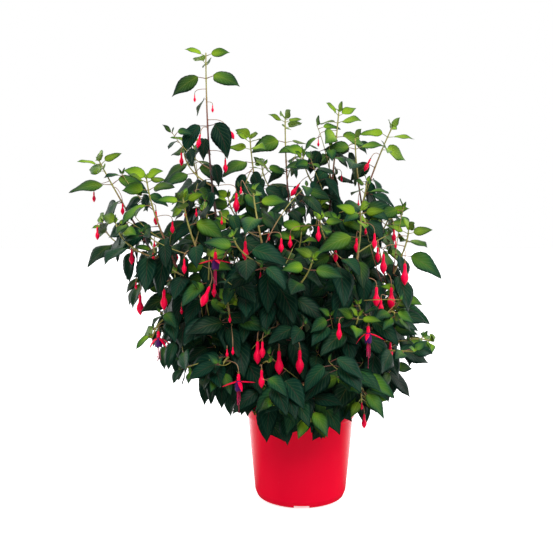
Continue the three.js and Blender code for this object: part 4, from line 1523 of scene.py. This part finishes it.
# Settings
def color_of(name, description, default):
    """A setting that is a colour."""
    kind = {"subtype": "COLOR", "default": default}
    return bpy.props.FloatVectorProperty(name=name, description=description, **kind)


def number(name, description, default, **kind):
    """A setting that is one number, with its unit or subtype."""
    return bpy.props.FloatProperty(name=name, description=description, default=default, **kind)


class PotSettings(bpy.types.PropertyGroup):
    color: color_of("Plastic colour", "Colour of the pot's plastic", (0.9, 0.0, 0.027))
    gloss: number("Roughness", "Lowest roughness of the plastic", 0.16, min=0, max=1)
    rounding: number("Edge rounding", "Radius of the moulded edges", 0.9 * MM, unit="LENGTH")
    segments: bpy.props.IntProperty(name="Segments", description="Faces round the pot", default=144)


class SoilSettings(bpy.types.PropertyGroup):
    color: color_of("Soil colour", "Colour of the driest crumbs", (0.07, 0.04, 0.022))
    crumbs: bpy.props.IntProperty(name="Crumbs", description="Loose crumbs on the soil", default=420)
    crumb_size: number("Crumb size", "Radius of the largest crumbs", 3.2 * MM, unit="LENGTH")


class LeafSettings(bpy.types.PropertyGroup):
    young: color_of("Youngest leaf", "Colour at the tips", (0.15, 0.25, 0.008))
    fresh: color_of("Fresh leaf", "Colour of new leaves", (0.042, 0.11, 0.009))
    grown: color_of("Grown leaf", "Colour of grown leaves", (0.0054, 0.032, 0.0118))
    old: color_of("Old leaf", "Colour of the oldest leaves", (0.0014, 0.0163, 0.0093))
    young_rib: color_of("Young midrib", "Midrib of new leaves", (0.12, 0.13, 0.03))
    old_rib: color_of("Old midrib", "Midrib of grown leaves", (0.055, 0.018, 0.02))
    stem_tip: color_of("Stem tip", "Colour of new stem", (0.27, 0.25, 0.05))
    stem_foot: color_of("Stem foot", "Colour of old stem", (0.055, 0.02, 0.016))
    thickness: number("Thickness", "Thickness of a blade", 0.35 * MM, unit="LENGTH")
    rib_depth: number("Rib depth", "Depth of the midrib under a blade", 0.9 * MM, unit="LENGTH")
    fold: number("Fold", "Rise of the halves from the midrib", 0.3)
    curl: number("Curl", "Droop of the edges", 0.2)
    ripe_tip: number("Riper tip", "How much older a blade's tip looks", 0.5)


class BloomSettings(bpy.types.PropertyGroup):
    sepal: color_of("Sepal colour", "Colour of buds and sepals", (1.0, 0.0, 0.055))
    corolla: color_of("Corolla colour", "Colour of the inner petals", (0.06, 0.008, 0.1))
    pedicel: color_of("Stalk colour", "Colour of the stalks", (0.36, 0.2, 0.11))


class StageSettings(bpy.types.PropertyGroup):
    floor_size: number("Floor size", "Side of the floor", 30, unit="LENGTH")
    box_power: number("Soft box power", "Light of each side", 11, unit="POWER")
    key_power: number("Key power", "Light from the upper front", 36, unit="POWER")
    world: number("Surroundings", "Strength of the white surroundings", 1.0)
    camera: bpy.props.FloatVectorProperty(
        name="Camera",
        description="Place of the camera",
        subtype="TRANSLATION",
        default=[MM * distance for distance in EYE],
    )
    pitch: number("Pitch", "Camera's angle below level", math.radians(3.62), subtype="ANGLE")
    lens: number("Focal length", "Camera's lens, in mm", 47.52)


SETTINGS = {
    "fuchsia_pot": PotSettings,
    "fuchsia_soil": SoilSettings,
    "fuchsia_leaves": LeafSettings,
    "fuchsia_blooms": BloomSettings,
    "fuchsia_stage": StageSettings,
}


def rounded(profile, radius, steps=3):
    """A profile with its inner corners turned into small arcs."""
    points = [Vector(p) for p in profile]
    made = [points[0]]
    for before, corner, after in zip(points, points[1:], points[2:]):
        start = corner + (before - corner).normalized() * min(radius, (before - corner).length * 0.45)
        end = corner + (after - corner).normalized() * min(radius, (after - corner).length * 0.45)
        for i in range(steps + 1):
            t = i / steps
            made.append(start.lerp(corner, t).lerp(corner.lerp(end, t), t))
    made.append(points[-1])
    return made


def lathe(name, profile, segments, lift=lambda x, y, z: 0.0):
    """A closed solid turned from points of radius and height, which a rule may lift."""
    vertices, faces, rows = [], [], []
    for radius, z in profile:
        if radius < 1e-6:
            rows.append([len(vertices)])
            vertices.append((0, 0, z + lift(0, 0, z)))
            continue
        rows.append(range(len(vertices), len(vertices) + segments))
        for j in range(segments):
            x = radius * math.cos(2 * math.pi * j / segments)
            y = radius * math.sin(2 * math.pi * j / segments)
            vertices.append((x, y, z + lift(x, y, z)))
    for lower, upper in zip(rows, rows[1:]):
        for j in range(segments):
            k = (j + 1) % segments
            corners = [(lower, j), (lower, k), (upper, k), (upper, j)]
            faces.append(list(dict.fromkeys(row[i % len(row)] for row, i in corners)))
    mesh = bpy.data.meshes.new(name)
    mesh.from_pydata([Vector(v) * MM for v in vertices], [], faces)
    mesh.polygons.foreach_set("use_smooth", [True] * len(faces))
    return add_object(name, mesh)


def pot_profile():
    """The pot's wall from the middle of its underside, out and up over the lip, and down inside."""
    collar = WALL_TOP[0] + COLLAR_STEP
    return [
        (0, 0),
        (HUB_RADIUS, 0),
        (HUB_RADIUS + 2, BASE_RAISE),
        (FOOT_RADIUS - 4, BASE_RAISE),
        (FOOT_RADIUS - 3, 0),
        (FOOT_RADIUS, 0),
        (FOOT_RADIUS + 5.5, 2.6),
        WALL_FOOT,
        WALL_TOP,
        (collar, WALL_TOP[1] + 0.8),
        (collar + 1.4, POT_HEIGHT - 3),
        (RIM_RADIUS, POT_HEIGHT - 2.4),
        (RIM_RADIUS, POT_HEIGHT),
        (collar + 1, POT_HEIGHT),
        (collar - WALL, WALL_TOP[1] + 2),
        (WALL_TOP[0] - WALL, WALL_TOP[1]),
        (WALL_FOOT[0] - WALL, WALL_FOOT[1]),
        (FOOT_RADIUS - 2, BASE_RAISE + WALL),
        (HUB_RADIUS + 1, BASE_RAISE + WALL),
        (HUB_RADIUS - 1, WALL),
        (0, WALL),
    ]


def spoke(turn, radius, height):
    """A place in metres at an angle from the pot's front."""
    out = Vector((math.sin(turn), -math.cos(turn), 0))
    return out * radius * MM + UP * height * MM


def cutters():
    """The foot's notches and the drain holes, as one mesh to cut away."""
    shapes = []
    for i in range(NOTCHES):
        turn = 2 * math.pi * i / NOTCHES
        bpy.ops.mesh.primitive_cube_add(size=1, rotation=(0, 0, turn))
        notch = bpy.context.object
        notch.location = spoke(turn, NOTCH_RADIUS, (BASE_RAISE - 1) / 2)
        notch.scale = Vector((NOTCH_WIDTH, NOTCH_LENGTH, BASE_RAISE + 1)) * MM
        place = spoke(turn + math.pi / NOTCHES, DRAIN_RING, BASE_RAISE + WALL / 2)
        size = {"radius": DRAIN_RADIUS * MM, "depth": 3 * WALL * MM}
        bpy.ops.mesh.primitive_cylinder_add(vertices=32, location=place, **size)
        shapes += [notch, bpy.context.object]
    bpy.ops.object.select_all(action="DESELECT")
    for shape in shapes:
        shape.select_set(True)
    bpy.context.view_layer.objects.active = shapes[0]
    bpy.ops.object.join()
    return bpy.context.object


def dress(piece, slot, *nodes):
    """Lets a finished piece ride with the plant, in place of its nodes in the part."""
    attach(piece, "root")
    if nodes:
        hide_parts(*nodes)


class FUCHSIA_OT_pot(bpy.types.Operator):
    """Make the smooth red plastic pot"""

    bl_idname = "fuchsia.pot"
    bl_label = "Nursery pot"

    def execute(self, context):
        look = context.scene.fuchsia_pot
        pot = lathe("nursery_pot", rounded(pot_profile(), look.rounding / MM), look.segments)
        cut = cutters()
        boolean = pot.modifiers.new("cut", "BOOLEAN")
        boolean.operation = "DIFFERENCE"
        boolean.object = cut
        boolean.solver = "EXACT"
        context.view_layer.objects.active = pot
        bpy.ops.object.modifier_apply(modifier=boolean.name)
        bpy.data.objects.remove(cut)
        pot.data.materials.clear()
        pot.data.materials.append(pot_material(look))
        bpy.ops.object.select_all(action="DESELECT")
        pot.select_set(True)
        bpy.ops.object.shade_smooth_by_angle(angle=math.radians(35))
        dress(pot, "pot_plastic", "pot")
        return {"FINISHED"}


def soil_lift(x, y, z):
    """The uneven top of the soil."""
    if z < SOIL_TOP - 2:
        return 0.0
    near = 1 - clamp(math.hypot(x, y) / SOIL_EDGE) ** 6
    rough = math.sin(x * 0.31 + 1.3) * math.cos(y * 0.27) + 0.6 * math.sin(x * 0.83 - y * 0.71)
    return near * (SOIL_LUMPS * rough - SOIL_SINK)


def soil_profile(edge):
    """The soil's underside from its middle outwards, its side, and its top back to the middle."""
    steps = SOIL_MOUND_STEPS
    return [
        (0, WALL + GAP),
        (HUB_RADIUS - 1.4, WALL + GAP),
        (HUB_RADIUS + 0.6, BASE_RAISE + WALL + GAP),
        (FOOT_RADIUS - 2.4, BASE_RAISE + WALL + GAP),
        (WALL_FOOT[0] - WALL - GAP, WALL_FOOT[1]),
        *((edge * (1 - i / steps), SOIL_TOP + SOIL_MOUND * i / steps) for i in range(steps + 1)),
    ]


def add_crumb(surface, edge, largest, key):
    """A loose lump on the soil, at a drawn place within its edge."""
    angle = chance(key, 1) * 2 * math.pi
    reach = math.sqrt(chance(key, 2)) * (edge - SOIL_MARGIN)
    x, y = math.cos(angle) * reach, math.sin(angle) * reach
    mound = SOIL_TOP + SOIL_MOUND * (1 - reach / edge)
    place = np.array((x, y, mound + soil_lift(x, y, SOIL_TOP)))
    radius = mix(0.25, 1, chance(key, 3) ** 2) * largest
    rings = []
    for i, share in enumerate(np.linspace(-1, 1, 6)):
        girth = radius * math.sqrt(max(1 - share**2, 0.02))
        angles = np.arange(6) * math.pi / 3 + chance(key, 9) * 3
        wobble = np.array([mix(0.7, 1.2, chance(key, i, j)) for j in range(6)])
        height = np.full(6, share * radius * 0.7)
        ring = np.stack([np.cos(angles) * girth * wobble, np.sin(angles) * girth * wobble, height], axis=1)
        rings.append(ring + place)
    surface.loft(rings, [0] * 6, [0.5] * 6, chance(key), 0)


class FUCHSIA_OT_soil(bpy.types.Operator):
    """Make the soil that fills the pot, with loose crumbs on top"""

    bl_idname = "fuchsia.soil"
    bl_label = "Soil"

    def execute(self, context):
        look = context.scene.fuchsia_soil
        share = (SOIL_TOP - WALL_FOOT[1]) / (WALL_TOP[1] - WALL_FOOT[1])
        edge = mix(WALL_FOOT[0], WALL_TOP[0], share) - WALL - GAP
        soil = lathe("potting_soil", soil_profile(edge), SOIL_SIDES, soil_lift)
        material = soil_material(look)
        soil.data.materials.append(material)
        dress(soil, "soil", "soil")
        surface = Surface()
        for i in range(look.crumbs):
            add_crumb(surface, edge, look.crumb_size / MM, i)
        dress(surface.build("soil_crumbs", [material]), "soil")
        return {"FINISHED"}


class FUCHSIA_OT_leafy_stems(bpy.types.Operator):
    """Make every stem with its side shoots and leaves"""

    bl_idname = "fuchsia.leafy_stems"
    bl_label = "Leafy stems"

    def execute(self, context):
        look = context.scene.fuchsia_leaves
        materials = [
            leaf_material("leaf_upper_face", look, False),
            leaf_material("leaf_underside", look, True),
            bark_material(look),
            stalk_material(),
        ]
        for plant in grown_plants():
            surface = Surface()
            for curve in [*plant.curves, *plant.twigs]:
                add_stem(surface, curve)
            for leaf in plant.leaves:
                add_leaf(surface, leaf, look)
            piece = surface.build("foliage_" + plant.stem.name, materials)
            dress(piece, "foliage", plant.node)
        return {"FINISHED"}


def toned(color, share):
    return tuple(c * share for c in color)


def bloom_materials(look):
    """Of each material: its name, its colour at the base and at the tip, and its roughness."""
    sepal, corolla, pedicel = tuple(look.sepal), tuple(look.corolla), tuple(look.pedicel)
    rows = [
        ("bloom_stalk", pedicel, toned(pedicel, 0.8), (0.4, 0.6)),
        ("ovary", (0.2, 0.12, 0.04), (0.3, 0.06, 0.03), (0.4, 0.55)),
        ("sepals", sepal, toned(sepal, 0.9), (0.3, 0.45)),
        ("corolla", corolla, toned(corolla, 1.3), (0.5, 0.7)),
        ("stamens", (0.75, 0.01, 0.09), (0.6, 0.02, 0.12), (0.35, 0.5)),
        ("anthers", (0.35, 0.05, 0.09), (0.3, 0.05, 0.09), (0.6, 0.8)),
    ]
    return [petal_material(*row) for row in rows]


class FUCHSIA_OT_blooms(bpy.types.Operator):
    """Make each closed bud and open flower on its stalk, and the small buds"""

    bl_idname = "fuchsia.blooms"
    bl_label = "Blooms"

    def execute(self, context):
        materials = bloom_materials(context.scene.fuchsia_blooms)
        for i, bloom in enumerate(BLOOMS):
            surface = Surface()
            BloomShape(bloom).add_to(surface)
            kind = "flower" if bloom.is_open else "bud"
            piece = surface.build(f"{kind}_{i + 1:02d}", materials)
            dress(piece, "bloom", f"bloom_{i + 1:02d}")
        surface = Surface()
        for bloom in SMALL_BUDS:
            BloomShape(bloom).add_to(surface)
        dress(surface.build("small_buds", materials), "bloom")
        return {"FINISHED"}


# How bright the surroundings are from level (0) to straight above (1).
SKY = [(0.0, 0.4), (0.15, 0.25), (0.45, 0.35), (0.8, 1.3), (1.0, 1.5)]
# The lamps: name, place, width and height in metres, and the setting that has its power.
LAMPS = [
    ("left_box", (-1.4, 0.5, 0.45), (0.4, 1.2), "box_power"),
    ("right_box", (1.5, 0.2, 0.45), (0.7, 1.2), "box_power"),
    ("key", (0.3, -1.6, 1.6), (1.2, 1.2), "key_power"),
]
LAMP_TARGET = Vector((-0.05, 0, 0.3))


def light_the_world(tree, strength):
    """A white backdrop that lights the plant as a studio does: mostly from above."""
    seen = tree.nodes["Background"]
    seen.inputs["Color"].default_value = (1, 1, 1, 1)
    seen.inputs["Strength"].default_value = strength
    way = node(tree, "SeparateXYZ", {0: node(tree, "TexCoord").outputs["Generated"]})
    behind = node(tree, "MapRange", {0: way.outputs["Y"], 1: 0.0, 2: 0.6}).outputs[0]
    sky = ramp(tree, way.outputs["Z"], *((place, grey(light)) for place, light in SKY))
    color = blend(tree, behind, sky, (*grey(1.2), 1))
    studio = node(tree, "Background", {"Color": color})
    is_seen = node(tree, "LightPath").outputs["Is Camera Ray"]
    mixed = node(tree, "MixShader", {0: is_seen, 1: studio.outputs[0], 2: seen.outputs[0]})
    tree.links.new(mixed.outputs[0], tree.nodes["World Output"].inputs["Surface"])


def add_lamp(name, place, size, power):
    """A soft box that looks at the plant."""
    light = bpy.data.lights.new(name, "AREA")
    light.shape = "RECTANGLE"
    light.size, light.size_y = size
    light.energy = power
    holder = add_object(name, light)
    holder.location = place
    holder.rotation_euler = (LAMP_TARGET - holder.location).to_track_quat("-Z", "Y").to_euler()


class FUCHSIA_OT_stage(bpy.types.Operator):
    """Set up the floor, the soft studio light and the camera"""

    bl_idname = "fuchsia.stage"
    bl_label = "Stage"

    def execute(self, context):
        look = context.scene.fuchsia_stage
        scene = context.scene
        scene.view_settings.view_transform = "Standard"
        bpy.ops.mesh.primitive_plane_add(size=look.floor_size)
        floor = context.object
        floor.name = "floor"
        floor.data.materials.append(floor_material())
        world = bpy.data.worlds.new("white_studio")
        world.use_nodes = True
        light_the_world(world.node_tree, look.world)
        scene.world = world
        for name, place, size, power in LAMPS:
            add_lamp(name, place, size, getattr(look, power))
        camera = add_object("camera", bpy.data.cameras.new("camera"))
        camera.data.sensor_width = 36
        camera.data.lens = look.lens
        camera.location = look.camera
        camera.rotation_euler = (math.pi / 2 - look.pitch, 0, 0)
        scene.camera = camera
        return {"FINISHED"}


OPERATORS = [FUCHSIA_OT_pot, FUCHSIA_OT_soil, FUCHSIA_OT_leafy_stems, FUCHSIA_OT_blooms, FUCHSIA_OT_stage]


class FUCHSIA_PT_pieces(bpy.types.Panel):
    """Lists the pieces of the potted fuchsia"""

    bl_idname = "FUCHSIA_PT_pieces"
    bl_label = "Potted Fuchsia"
    bl_space_type = "VIEW_3D"
    bl_region_type = "UI"
    bl_category = "Fuchsia"

    def draw(self, context):
        for operator in OPERATORS:
            self.layout.operator(operator.bl_idname)


def register():
    for name, settings in SETTINGS.items():
        bpy.utils.register_class(settings)
        setattr(bpy.types.Scene, name, bpy.props.PointerProperty(type=settings))
    for shown in [*OPERATORS, FUCHSIA_PT_pieces]:
        bpy.utils.register_class(shown)


def unregister():
    for shown in [FUCHSIA_PT_pieces, *OPERATORS[::-1]]:
        bpy.utils.unregister_class(shown)
    for name, settings in SETTINGS.items():
        delattr(bpy.types.Scene, name)
        bpy.utils.unregister_class(settings)


def main():
    register()
    bpy.ops.fuchsia.pot()
    bpy.ops.fuchsia.soil()
    bpy.ops.fuchsia.leafy_stems()
    bpy.ops.fuchsia.blooms()
    bpy.ops.fuchsia.stage()
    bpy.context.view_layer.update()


if __name__ == "__main__":
    main()
